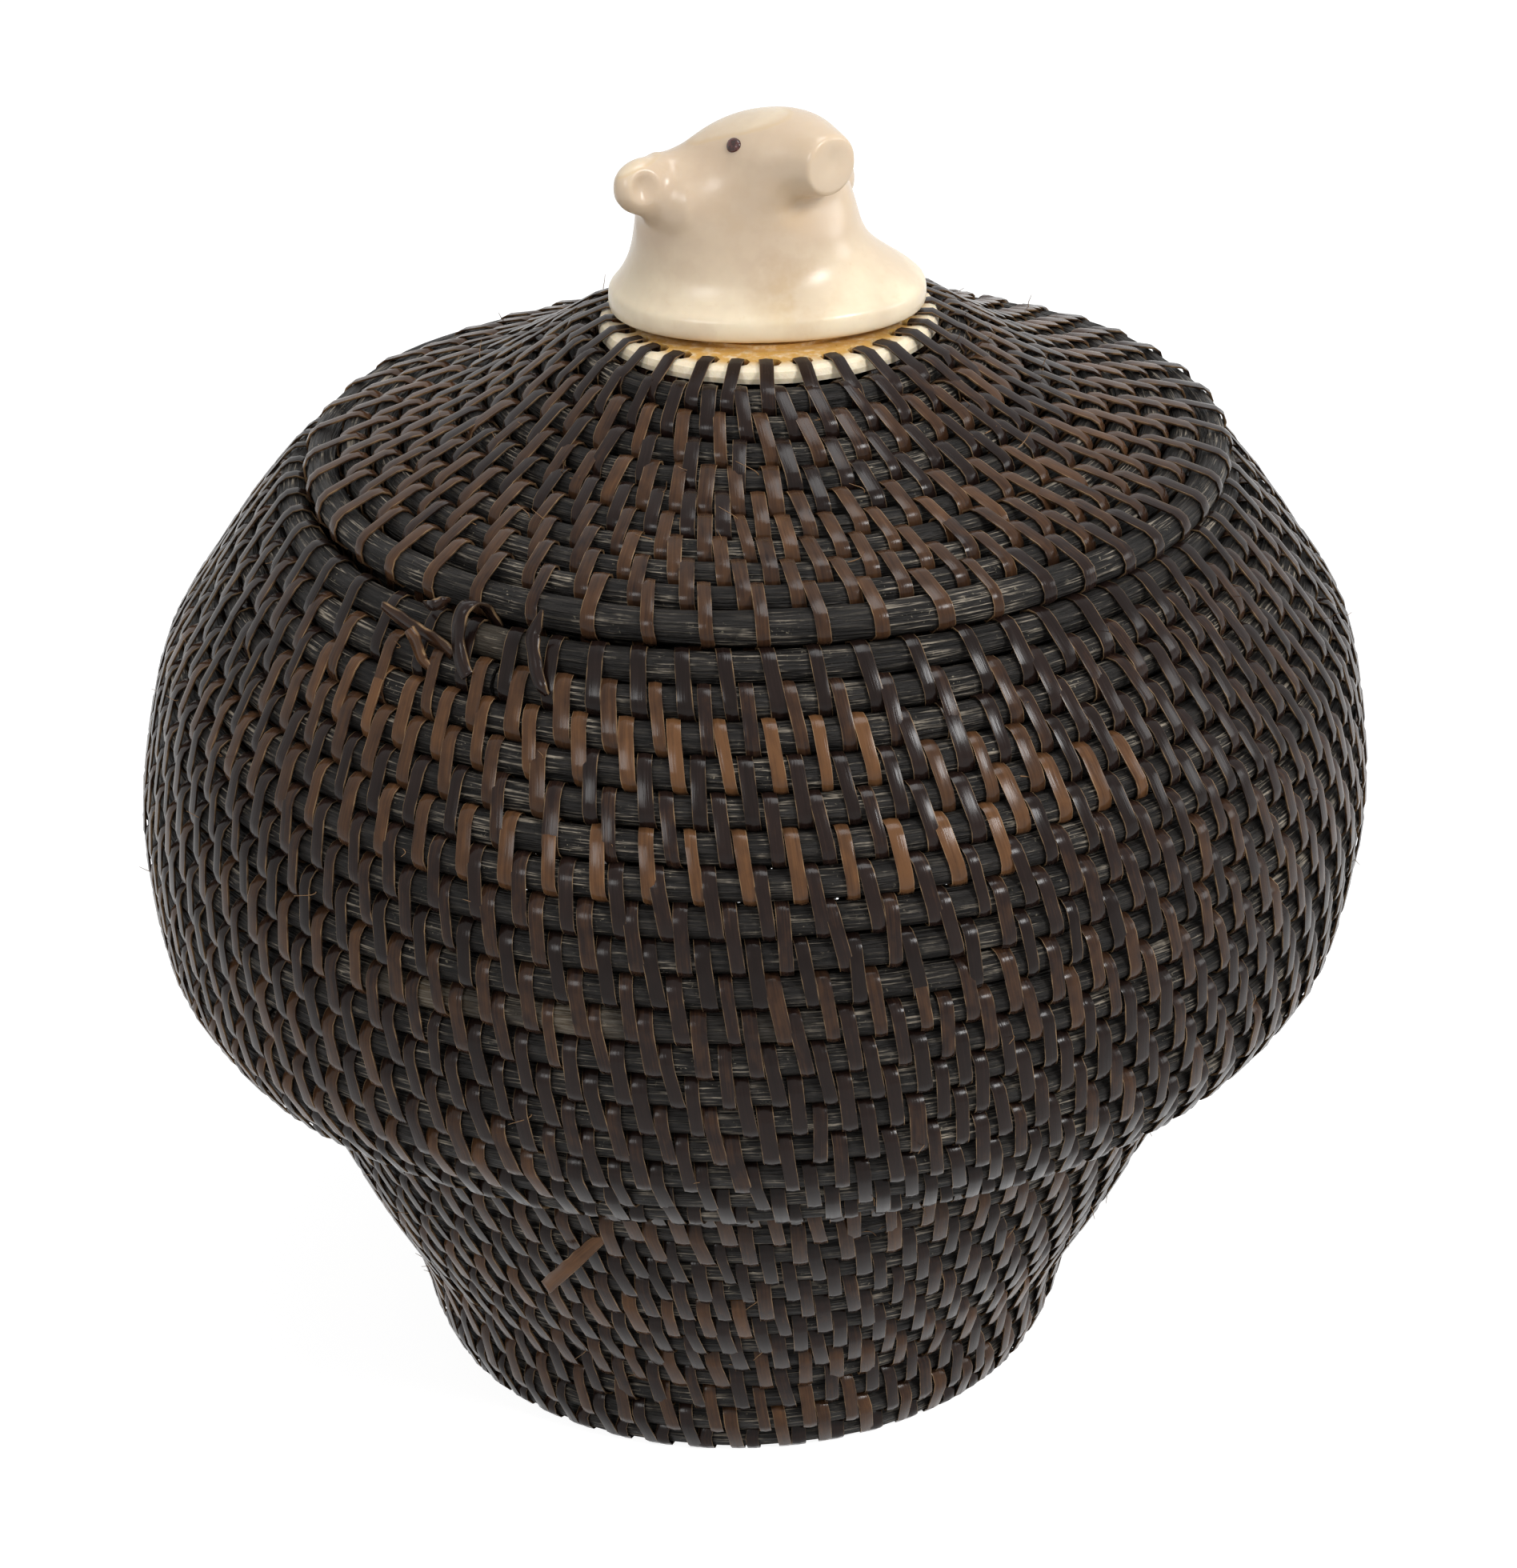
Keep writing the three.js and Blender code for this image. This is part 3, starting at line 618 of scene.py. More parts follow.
class Nodes:
    """Short ways to add nodes to one tree and to link them."""

    def __init__(self, tree):
        self.nodes, self.links = tree.nodes, tree.links

    def node(self, kind, *values, **settings):
        """A new node with its settings, and values or links for its first sockets."""
        made = self.nodes.new(kind)
        for key, value in settings.items():
            setattr(made, key, value)
        for socket, value in zip(made.inputs, values):
            self.feed(socket, value)
        return made

    def feed(self, socket, value):
        if isinstance(value, bpy.types.NodeSocket):
            self.links.new(value, socket)
        else:
            socket.default_value = (*value, 1) if socket.type == "RGBA" else value

    def fill(self, node, sockets):
        for name, value in sockets.items():
            self.feed(node.inputs[name], value)
        return node

    def math(self, operation, *values, clamp=False):
        return self.node("ShaderNodeMath", *values, operation=operation, use_clamp=clamp).outputs[0]

    def times(self, a, b):
        return self.math("MULTIPLY", a, b)

    def minus(self, a, b):
        return self.math("SUBTRACT", a, b)

    def plus(self, a, b, clamp=False):
        return self.math("ADD", a, b, clamp=clamp)

    def swayed(self, value, pattern, reach, clamp=False):
        """A value that a pattern moves up and down about the pattern's middle."""
        return self.plus(value, self.times(self.minus(pattern, 0.5), reach), clamp)

    def span(self, value, low, high, to_low=0.0, to_high=1.0):
        return self.node("ShaderNodeMapRange", value, low, high, to_low, to_high, clamp=True).outputs[0]

    def ramp(self, factor, stops):
        made = self.node("ShaderNodeValToRGB", factor)
        elements = made.color_ramp.elements
        while len(elements) < len(stops):
            elements.new(1)
        for element, (position, color) in zip(elements, stops):
            element.position = position
            element.color = (*color, 1)
        return made.outputs[0]

    def mix(self, share, a, b):
        made = self.node("ShaderNodeMix", data_type="RGBA")
        for socket, value in zip((made.inputs[0], *made.inputs[6:8]), (share, a, b)):
            self.feed(socket, value)
        return made.outputs[2]

    def noise(self, place, scale, detail=3.0, roughness=0.5):
        sockets = {"Vector": place, "Scale": scale, "Detail": detail, "Roughness": roughness}
        return self.fill(self.node("ShaderNodeTexNoise"), sockets).outputs["Fac"]

    def place(self):
        return self.node("ShaderNodeTexCoord").outputs["Object"]

    def stretched(self, parts, factors):
        """A place made of three parts, each times its factor."""
        grown = [self.times(part, factor) for part, factor in zip(parts, factors)]
        return self.node("ShaderNodeCombineXYZ", *grown).outputs[0]

    def round_place(self, place):
        """Radius, azimuth round the leaning axis, which in the lid lies further right, and height."""
        x, y, z = self.node("ShaderNodeSeparateXYZ", place).outputs
        axis = self.times(self.minus(z, LEAN_PIVOT * MM), LEAN)
        aside = self.times(self.math("GREATER_THAN", z, (MOUTH[1] + ROD) * MM), LID_SHIFT * MM)
        centred = self.minus(self.minus(x, axis), aside)
        squares = self.plus(self.times(centred, centred), self.times(y, y))
        return self.math("SQRT", squares), self.math("ARCTAN2", y, centred), z

    def when_seen(self, other, seen, output):
        """One shader for the camera, reflections and clear things, and another for all other light."""
        path = self.node("ShaderNodeLightPath").outputs
        share = self.math("MAXIMUM", path["Is Camera Ray"], path["Is Glossy Ray"])
        share = self.math("MAXIMUM", share, path["Is Transmission Ray"])
        chosen = self.node("ShaderNodeMixShader", share, other.outputs[0], seen.outputs[0])
        self.links.new(chosen.outputs[0], output.inputs[0])


class Finish(Nodes):
    """A material with its Principled shader."""

    def __init__(self, name):
        self.material = bpy.data.materials.new(name)
        self.material.use_nodes = True
        super().__init__(self.material.node_tree)
        self.shader = self.nodes["Principled BSDF"]

    def done(self, sockets, height, strength, distance):
        """The material, with what its shader gets and with a fine relief."""
        relief = {"Strength": strength, "Distance": distance, "Height": height}
        bump = self.fill(self.node("ShaderNodeBump"), relief)
        self.fill(self.shader, {**sockets, "Normal": bump.outputs[0]})
        return self.material


def strip_finish(colors):
    """Split baleen: near black to amber by splint, with pale edges, fine streaks and a satin gloss."""
    f = Finish("split_baleen")
    band = f.node("ShaderNodeAttribute", attribute_name="band").outputs
    tone, across, along = f.node("ShaderNodeSeparateColor", band["Color"]).outputs
    parts = (across, along, band["Alpha"])
    streak = f.noise(f.stretched(parts, (7, 1.6, 90)), 1.0)
    mottle = f.noise(f.stretched(parts, (1.2, 4, 57)), 1.0, 4)
    shade = f.swayed(f.swayed(tone, streak, 0.45), mottle, 0.5, clamp=True)
    stops = [
        (0.0, [c * 0.55 for c in colors.strip]),
        (0.35, colors.strip),
        (0.72, [mix(a, b, 0.45) for a, b in zip(colors.strip, colors.strip_pale)]),
        (1.0, colors.strip_pale),
    ]
    rim = f.math("ABSOLUTE", f.minus(across, 0.5))
    rim = f.span(f.swayed(rim, streak, 0.1), 0.44, 0.5)
    edge_share = f.times(rim, f.span(mottle, 0.4, 0.66, 0.05, 0.75))
    sockets = {
        "Base Color": f.mix(edge_share, f.ramp(shade, stops), colors.strip_edge),
        "Roughness": f.span(streak, 0.3, 0.7, 0.13, 0.27),
        "Specular IOR Level": 0.16,
    }
    return f.done(sockets, streak, 0.25, 0.00006)


def rod_finish(colors):
    """Baleen rod: charcoal with lengthwise fibres, pale scuffed threads and worn tan places."""
    f = Finish("baleen_rod")
    place = f.place()
    radius, azimuth, z = f.round_place(place)
    parts = (radius, z, f.times(azimuth, radius))
    fibre = f.noise(f.stretched(parts, (5200, 5200, 210)), 1.0, 3, 0.6)
    coarse = f.noise(f.stretched(parts, (2300, 2300, 120)), 1.0, 3, 0.6)
    patch = f.noise(place, 190.0, 4, 0.65)
    dust = f.noise(place, 3800.0, 2, 0.5)
    worn = f.node("ShaderNodeAttribute", attribute_name="worn").outputs["Fac"]
    dark, light = [c * 0.4 for c in colors.rod], [c * 2.1 for c in colors.rod]
    color = f.mix(f.span(coarse, 0.35, 0.7), dark, light)
    pale_share = f.times(f.span(fibre, 0.54, 0.64), f.span(patch, 0.46, 0.62, 0.1, 1.0))
    color = f.mix(pale_share, color, colors.rod_fibre)
    speck = f.times(f.span(dust, 0.66, 0.74), f.span(patch, 0.45, 0.6))
    color = f.mix(f.times(speck, 0.7), color, colors.rod_speck)
    bare = f.mix(f.span(worn, 0.6, 0.9), colors.rod_fibre, colors.rod_worn)
    tan = f.mix(f.span(fibre, 0.4, 0.6), bare, [c * 0.2 for c in colors.rod_worn])
    worn_share = f.times(worn, f.span(f.plus(patch, f.times(coarse, 0.5)), 0.35, 0.7))
    sockets = {
        "Base Color": f.mix(worn_share, color, tan),
        "Roughness": f.span(coarse, 0.3, 0.7, 0.62, 0.36),
        "Specular IOR Level": 0.15,
    }
    return f.done(sockets, f.plus(f.times(fibre, 0.8), coarse), 1.0, 0.0004)


# Stained places on the carving, in millimetres: where, how wide, how strongly, and whether yellow
STAINS = [
    ((3.2, -8, 97.5), 5, 1.0, False),
    ((4.5, -9, 95), 4.5, 0.55, True),
    ((-4, -5.5, 104.8), 5.5, 0.9, False),
    ((-0.5, -6.8, 103.1), 4.5, 0.7, False),
    ((3.5, -6.5, 105.7), 3.5, 0.6, False),
    ((-4.9, -6.2, 98.7), 6, 0.6, False),
    ((0.4, -6.9, 100.7), 3.5, 0.4, True),
    ((4.2, -6, 101.2), 3.6, 0.9, True),
    ((6.8, -8.8, 107), 3.2, 0.75, True),
    ((-8.1, -4.5, 103), 1.6, 0.5, True),
    ((-8, -4, 99.6), 2, 0.6, True),
]

# The line over the muzzle above which the top of the head stays paler and below which the head's sides
# get painted shade: its height, and how steeply it rises
CREASE_HEIGHT = 0.1064
CREASE_SLOPE = 0.32


def ivory_finish(colors):
    """Polished walrus ivory: cream with warm grey-brown clouds, stained places, painted shade on the
    head's sides and a bright polish.
    """
    f = Finish("polished_ivory")
    place = f.place()
    cloud = f.noise(place, 150.0, 4, 0.55)
    warm = f.noise(place, 420.0, 3, 0.6)
    grain = f.noise(place, 1500.0, 3, 0.6)
    color = f.mix(f.span(cloud, 0.42, 0.62, 0.0, 0.5), colors.ivory, colors.ivory_shade)
    for spot, reach, amount, yellow in STAINS:
        middle = [c * MM for c in spot]
        away = f.node("ShaderNodeVectorMath", place, middle, operation="DISTANCE").outputs["Value"]
        near = f.span(away, reach * 0.35 * MM, reach * MM, amount, 0.0)
        patchy = f.times(near, f.span(warm, 0.38, 0.6, 0.15, 1.0))
        color = f.mix(patchy, color, colors.ivory_warm if yellow else colors.ivory_shade)
    color = f.mix(f.span(grain, 0.6, 0.78, 0.0, 0.2), color, colors.ivory_warm)
    x, _, z = f.node("ShaderNodeSeparateXYZ", place).outputs
    # Painted shade: above the flange the head is darkened towards the shade colour, strongly on its
    # sides below the crease line and lightly on its top above it.
    above_flange = f.span(z, 0.093, 0.098)
    crease = f.swayed(f.minus(z, f.times(x, CREASE_SLOPE)), cloud, 0.001)
    side = f.span(crease, CREASE_HEIGHT - 0.0002, CREASE_HEIGHT + 0.0002, 0.75, 0.22)
    color = f.mix(f.times(above_flange, side), color, colors.ivory_shade)
    line = f.math("ABSOLUTE", f.minus(crease, CREASE_HEIGHT))
    line = f.span(line, 0.00003, 0.00016, 0.3, 0.0)
    sockets = {
        "Base Color": f.mix(f.times(line, above_flange), color, colors.ivory_warm),
        "Roughness": 0.27,
        "Specular IOR Level": 0.4,
        "Subsurface Weight": 0.2,
        "Subsurface Radius": (0.0014, 0.001, 0.0006),
        "Subsurface Scale": 1.0,
    }
    return f.done(sockets, f.plus(cloud, f.times(grain, 0.15)), 0.1, 0.0002)


def disc_finish(colors):
    """The starter discs: a pale rim round a translucent amber middle with an open grain."""
    f = Finish("disc_ivory")
    place = f.place()
    radius, _, _ = f.round_place(place)
    grain = f.noise(place, 1300.0, 4, 0.7)
    cloud = f.noise(place, 260.0, 3, 0.5)
    amber = f.mix(f.span(grain, 0.48, 0.75, 0.0, 0.8), colors.disc_amber, colors.ivory)
    pale = f.mix(f.span(grain, 0.5, 0.75, 0.0, 0.5), colors.ivory, colors.ivory_warm)
    sockets = {
        "Base Color": f.mix(f.span(f.swayed(radius, cloud, 0.0016), 0.0116, 0.0126), amber, pale),
        "Roughness": f.span(grain, 0.3, 0.7, 0.25, 0.5),
        "Subsurface Weight": 0.2,
        "Subsurface Radius": (0.0014, 0.0009, 0.0004),
        "Subsurface Scale": 1.0,
    }
    return f.done(sockets, grain, 0.35, 0.0002)


def inlay_finish(colors):
    """Dark brown polished inlay with a reddish heart."""
    f = Finish("eye_inlay")
    grain = f.noise(f.place(), 1700.0, 3, 0.6)
    color = f.mix(f.span(grain, 0.4, 0.7), colors.inlay, colors.inlay_heart)
    return f.done({"Base Color": color, "Roughness": 0.25}, grain, 0.4, 0.0002)


# The sizes and colours that a user would change


def length(name, description, default):
    return FloatProperty(
        name=name, description=description, default=default * MM, unit="LENGTH", precision=5
    )


def color(name, description, *default):
    return FloatVectorProperty(name=name, description=description, default=default, subtype="COLOR")


class BasketSizes(bpy.types.PropertyGroup):
    """Sizes of the pieces that the solids leave to the looks."""

    strip_width: length("Strip width", "Width of a binding strip", 1.1)
    strip_thickness: length("Strip thickness", "Thickness of a binding strip", 0.24)
    strip_clearance: length("Strip clearance", "Room between a strip and its rods", 0.05)
    strip_lean: length("Strip lean", "How far a strip's lower end stands aside", 1.1)
    rod_steps: IntProperty(
        name="Rod steps", description="Points along each turn of rod", default=96, min=24
    )


class BasketColors(bpy.types.PropertyGroup):
    """Colours of the finishes, as linear values."""

    rod: color("Rod", "Charcoal rod", 0.0105, 0.0092, 0.0083)
    rod_fibre: color("Rod fibre", "Pale threads on the rod", 0.33, 0.285, 0.225)
    rod_speck: color("Rod speck", "Dust and scuffs on the rod", 0.3, 0.26, 0.19)
    rod_worn: color("Worn rod", "Tan places where the rod is worn", 0.34, 0.2, 0.065)
    strip: color("Strip", "Dark split baleen", 0.0165, 0.0088, 0.007)
    strip_pale: color("Pale strip", "Amber split baleen", 0.13, 0.06, 0.025)
    strip_edge: color("Strip edge", "Thin translucent edge of a strip", 0.42, 0.27, 0.14)
    ivory: color("Ivory", "Cream ivory", 0.84, 0.72, 0.53)
    # Also the colour of the painted shade on the sides of the carved head.
    ivory_shade: color("Ivory shade", "Grey-brown clouds", 0.6, 0.46, 0.33)
    ivory_warm: color("Ivory stain", "Yellow-brown stains", 0.62, 0.44, 0.22)
    disc_amber: color("Disc amber", "Amber middle of a starter disc", 0.62, 0.36, 0.1)
    inlay: color("Inlay", "Dark inlay", 0.03, 0.012, 0.009)
    inlay_heart: color("Inlay heart", "Reddish inlay", 0.16, 0.035, 0.03)


def remembered(name, make, colors):
    """A finish is made once and shared."""
    return bpy.data.materials.get(name) or make(colors)


# Rods

def splice_turns(coil, places, steps=18):
    """The turns at which a coil's rod is spliced, each in the middle of a step of the solids' coil."""
    middles = [(course, math.floor(share * steps) + 0.5) for course, share in places]
    return [course + FRONT_SHARE + middle / steps for course, middle in middles]


# The lengths of rod from the floor to the mouth, and where they are spliced, as course and share of it
WALL_LENGTHS = [
    "floor_coil",
    "foot_coil_lower",
    "foot_coil_middle",
    "foot_coil_upper",
    "flare_coil",
    "belly_coil_lower",
    "belly_coil_upper",
    "shoulder_coil",
    "rim_rod",
]
SPLICE_PLACES = [
    (4, 0.12), (7, 0.36), (10, 0.6), (16, 0.2), (19, 0.62), (23, 0.15), (30, 0.55), (35, 0.1)
]
WALL_SPLICES = splice_turns(WALL, SPLICE_PLACES)
DOME_LENGTHS = ["crown_coil", "dome_coil"]
DOME_SPLICES = splice_turns(DOME, [(3, 0.12)], 16)
SPLICE_GAP = 0.0006

# Places where the wall's rod is worn to a tan core, as turns and how strongly
WORN_PLACES = [
    (26.402, 26.432, 1.0),
    (26.437, 26.472, 1.0),
    (26.36, 26.38, 0.4),
    (36.443, 36.486, 0.3),
    (20.28, 20.31, 0.3),
]
WORN_FADE = 40


def rod_mesh(name, coil, first, last, steps, worn=()):
    count = max(2, round((last - first) * steps))
    turns = np.linspace(first, last, count + 1)
    centre, _, _, radius = coil.section(turns)
    azimuth = coil.azimuth(turns)
    uneven = 1 + 0.035 * np.sin(turns * 37.0) + 0.03 * np.sin(turns * 91.0 + 1)
    mesh = swept(name, [(on_wall(centre[:, 0], centre[:, 1], azimuth), radius * uneven)])
    flatten_foot(mesh)
    wear = np.zeros(len(turns))
    for low, high, amount in worn:
        inside = np.minimum(turns - low, high - turns)
        wear = np.maximum(wear, amount * np.clip(inside * WORN_FADE, 0, 1))
    per_ring = len(mesh.vertices) // len(turns)
    marks = np.zeros((len(mesh.vertices), 4))
    marks[: per_ring * len(turns), :3] = np.repeat(wear, per_ring)[:, None]
    marks[:, 3] = 1
    add_attribute(mesh, "worn", marks)
    return mesh


def flatten_foot(mesh):
    """Rods that would reach under the table are worn flat on it."""
    points = points_of(mesh)
    points[:, 2] = np.maximum(points[:, 2], 0)
    mesh.vertices.foreach_set("co", points.ravel())


class BASKET_OT_rods(bpy.types.Operator):
    """Lay the round fibrous rods along the solids' coils"""

    bl_idname = "basket.rods"
    bl_label = "Coiled rods"

    def execute(self, context):
        sizes, colors = context.scene.basket_sizes, context.scene.basket_colors
        material = remembered("baleen_rod", rod_finish, colors)
        steps = sizes.rod_steps
        bounds = [WALL.first, *WALL_SPLICES, WALL.last]
        for name, low, high in zip(WALL_LENGTHS, bounds, bounds[1:]):
            low, high = low + SPLICE_GAP, high - SPLICE_GAP
            mesh = rod_mesh("rod_" + name, WALL, low, high, steps, WORN_PLACES)
            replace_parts(finished("rod_" + name, mesh, material, "basket"), name)
        bounds = [DOME.first, *DOME_SPLICES, DOME.last]
        for name, low, high in zip(DOME_LENGTHS, bounds, bounds[1:]):
            mesh = rod_mesh("rod_" + name, DOME, low + SPLICE_GAP, high - SPLICE_GAP, steps)
            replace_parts(finished("rod_" + name, mesh, material, "lid"), name)
        for name, coil in (("lid_edge_rod", EDGE), ("lid_flange_coil", FLANGE)):
            mesh = rod_mesh("rod_" + name, coil, coil.first, coil.last, steps)
            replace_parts(finished("rod_" + name, mesh, material, "lid"), name)
        return {"FINISHED"}


# How much paler the strips of the lid and of its edge are; the lid's share is partly the strips' own
# warmer colour and partly painted light for the brighter top-lit dome
LID_TONE_AND_PAINTED_LIGHT, EDGE_PALER = 0.12, 0.22
# The radius at which the edge's strips step on from the last strips of the dome
LID_EDGE_RADIUS = 33


class BASKET_OT_strips(bpy.types.Operator):
    """Bind every rod to the one before it with flat strips"""

    bl_idname = "basket.strips"
    bl_label = "Binding strips"

    def execute(self, context):
        sizes, colors = context.scene.basket_sizes, context.scene.basket_colors
        material = remembered("split_baleen", strip_finish, colors)
        advance = (sizes.strip_width + sizes.strip_lean / 2) / MM

        turns = stitch_turns(WALL, 11, WALL_SPACING, advance)
        rows = stitch_rows(turns, WALL, WALL, turns - 1, 1, sizes, 12)
        rows["tone"] = repaint(turns, rows["tone"], WALL_PALE_RUNS, 10)
        bounds = [0, WALL_SPLICES[2], WALL_SPLICES[5], WALL.courses + 1]
        for k, name in enumerate(("foot_strips", "belly_strips", "shoulder_strips")):
            chosen = (turns >= bounds[k]) & (turns < bounds[k + 1])
            bind(name, picked(rows, chosen), material, "basket", sizes, 13 + k)

        turns = stitch_turns(DOME, 21, LID_SPACING, advance)
        rows = stitch_rows(turns, DOME, DOME, turns - 1, -1, sizes, 22)
        # Partly painted light: the lid's strips are raised in tone so that the dome reads brighter, as
        # where it is lit from above.
        rows["tone"] = np.clip(rows["tone"] + LID_TONE_AND_PAINTED_LIGHT, 0, 1)
        bind("lid_strips", rows, material, "lid", sizes, 23)
        last = turns[turns >= DOME.courses - 1]
        edge_turns = (last + advance / TAU / LID_EDGE_RADIUS) % 1.0
        edge_turns = edge_turns[edge_turns < EDGE.last]
        rows = stitch_rows(edge_turns, EDGE, DOME, edge_turns + DOME.courses - 1, -1, sizes, 24)
        rows["tone"] = np.clip(rows["tone"] + EDGE_PALER, 0, 1)
        bind("lid_edge_strips", rows, material, "lid", sizes, 25)
        turns = stitch_turns(FLANGE, 31, LID_SPACING, advance)
        rows = stitch_rows(turns, FLANGE, FLANGE, turns - 1, 1, sizes, 32)
        bind("flange_strips", rows, material, "lid", sizes, 33)

        for name, coil, disc, outward, body in (
            ("lid_lacing", DOME, LID_DISC, 1, "lid"),
            ("base_lacing", WALL, BASE_DISC, -1, "basket"),
        ):
            bands = lacing_bands(coil, disc, outward, sizes, 41)
            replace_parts(lay_bands(name + "_strips", bands, material, body, sizes, 42), name)
        return {"FINISHED"}


# Strips that have come loose: tone, which way their width lies, and the places of their middle line as
# azimuth in degrees, radius, height and width
LOOSE_STRIPS = [
    (0.3, "round", [(-115.5, 37.9, 79.91, 0.12), (-115.7, 38.1, 79.33, 0.55), (-116, 38.35, 78.5, 0.95),
                    (-116.1, 38.7, 77.9, 1.15), (-115.5, 39.3, 77.05, 0.95), (-114.8, 39.9, 76.1, 1.05),
                    (-113.7, 40.6, 75.05, 0.8), (-113.1, 40.5, 74.4, 0.4)]),
    (0.3, "round", [(-123.2, 35.9, 76.8, 0.9), (-123.8, 36.4, 77.9, 0.9), (-124.1, 36.9, 78.7, 1.1),
                    (-124.6, 37.7, 79.25, 1.2), (-124.9, 38.6, 79.2, 1.2), (-125.2, 39.1, 78.25, 1.15),
                    (-125.2, 39.3, 76.7, 1.1), (-124.1, 39.9, 75.3, 1.1), (-122.8, 40.4, 74.6, 1)]),
    (0.5, "up", [(-136.5, 39.4, 77.56, 0.6), (-133.8, 39.3, 77, 1.1), (-130.8, 39.2, 76.4, 1.15),
                 (-128.1, 39.2, 76, 1.1), (-126, 39.3, 75.4, 1)]),
    (0.8, "round", [(-130.8, 40.4, 77.05, 0.9), (-130.1, 40.4, 76.5, 1.15), (-129.7, 40.2, 75.45, 1),
                    (-129, 40.2, 74.65, 0.8), (-127.7, 40.2, 74.2, 0.5)]),
    (0.4, "up", [(-132, 37.9, 78.17, 0.2), (-129.8, 38.6, 78.5, 0.8), (-128.7, 38.2, 78.85, 0.8),
                 (-128.6, 37.5, 78.75, 0.3)]),
    (0.95, "up", [(-108.3, 36.9, 26.8, 0.9), (-110.6, 37.3, 25.2, 1.15), (-113.2, 37.3, 23.2, 1.2),
                 (-116.6, 36.6, 20.6, 1.2)]),
]
LOOSE_STEPS = 28


def loose_strip(name, tone, side, rows, thickness):
    """A flat strip along a free line, made from a grid and thickened."""
    bm = bmesh.new()
    bmesh.ops.create_grid(bm, x_segments=LOOSE_STEPS, y_segments=2, size=1)
    grid = places_of(bm.verts)
    way = (grid[:, 0] + 1) / 2

    def line(share):
        row = smooth_rows(rows, share)
        return on_wall(row[:, 1], row[:, 2], np.radians(row[:, 0])), row[:, 3]

    middle, width = line(way)
    ahead = line(np.minimum(way + 0.01, 1))[0] - line(np.maximum(way - 0.01, 0))[0]
    ahead /= np.linalg.norm(ahead, axis=1)[:, None]
    azimuth = np.arctan2(middle[:, 1], middle[:, 0])
    guide = (0, 0, 1)
    if side == "round":
        guide = np.stack([-np.sin(azimuth), np.cos(azimuth), 0 * azimuth], -1)
    across = guide - (guide * ahead).sum(-1)[:, None] * ahead
    across /= np.linalg.norm(across, axis=1)[:, None]
    ragged = 1 + 0.07 * np.sin(way * 31) * (grid[:, 1] > 0)
    put(bm.verts, (middle + across * (grid[:, 1] * ragged * width / 2)[:, None]) * MM)
    flat = to_mesh(bm, name)
    marks = np.stack([0 * way + tone, (grid[:, 1] + 1) / 2, way, 0 * way + 0.3], -1)
    add_attribute(flat, "band", marks)

    def thick(holder):
        solidify = holder.modifiers.new("thick", "SOLIDIFY")
        solidify.thickness = thickness
        solidify.offset = 0

    mesh = baked(name, flat, thick)
    outside_out(mesh)
    return mesh


WALL_FIBRES, LID_FIBRES = 170, 60
FIBRE_RADIUS = 0.045
FIBRE_POINTS = 6
# What the finish of the strips takes from a fibre: the palest tone, at the edge of a strip
FIBRE_MARK = [1.0, 0.0, 0.5, 0.5]


def frayed_fibres(coil, low, high, count, seed):
    """Thin fibres that stand off the rods: the places and radii of each."""
    rng = np.random.default_rng(seed)
    lines = []
    for turn in rng.uniform(low, high, count):
        centre, _, normal, radius = (value[0] for value in coil.section(np.array([turn])))
        reach, drift = rng.uniform(0.3, 1.1), rng.uniform(-1.6, 1.6)
        share = np.linspace(0, 1, FIBRE_POINTS)
        out = radius - 0.05 + reach * share ** rng.uniform(1.2, 2)
        place = centre + normal * out[:, None]
        rise = rng.uniform(-0.8, 0.8) * share
        azimuth = coil.azimuth(turn) + (drift * share + 0.3 * np.sin(share * 4)) / centre[0]
        line = on_wall(place[:, 0], place[:, 1] + rise, azimuth)
        lines.append((line, FIBRE_RADIUS * (1 - 0.6 * share)))
    return lines


class BASKET_OT_loose(bpy.types.Operator):
    """Add the loose strip ends and the frayed fibres"""

    bl_idname = "basket.loose"
    bl_label = "Loose ends and fibres"

    def execute(self, context):
        sizes, colors = context.scene.basket_sizes, context.scene.basket_colors
        material = remembered("split_baleen", strip_finish, colors)
        for k, (tone, side, rows) in enumerate(LOOSE_STRIPS):
            name = f"loose_strip_{k + 1}"
            mesh = loose_strip(name, tone, side, rows, sizes.strip_thickness)
            finished(name, mesh, material, "basket")
        wall = frayed_fibres(WALL, 6, WALL.courses - 1, WALL_FIBRES, 51)
        lid = frayed_fibres(DOME, 0.5, DOME.courses - 1, LID_FIBRES, 52)
        for name, lines, body in (("wall_fibres", wall, "basket"), ("lid_fibres", lid, "lid")):
            mesh = swept(name, lines)
            add_attribute(mesh, "band", np.tile(FIBRE_MARK, (len(mesh.vertices), 1)))
            finished(name, mesh, material, body)
        return {"FINISHED"}


class BASKET_OT_ivory(bpy.types.Operator):
    """Finish the ivory discs, the finial and its eyes"""

    bl_idname = "basket.ivory"
    bl_label = "Ivory pieces"

    def execute(self, context):
        colors = context.scene.basket_colors
        disc = remembered("disc_ivory", disc_finish, colors)
        ivory = remembered("polished_ivory", ivory_finish, colors)
        for name, material in (("base_disc", disc), ("lid_disc", disc), ("finial_peg", ivory)):
            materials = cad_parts[name].data.materials
            materials.clear()
            materials.append(material)
        carving = carved_mesh()
        eyes = {"right_eye": eye_mesh(carving, 1), "left_eye": eye_mesh(carving, -1)}
        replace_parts(finished("carved_finial", carving, ivory, "lid"), "finial")
        inlay = remembered("eye_inlay", inlay_finish, colors)
        for name, mesh in eyes.items():
            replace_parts(finished(name + "_bead", mesh, inlay, "lid"), name)
        return {"FINISHED"}


# The finial, carved in one piece: sizes in millimetres from the middle of its underside

CARVING_HEIGHT = CROWN_HEIGHT + 2.73
CARVING = (axis_at(CARVING_HEIGHT) + LID_SHIFT - 0.1, 0, CARVING_HEIGHT)
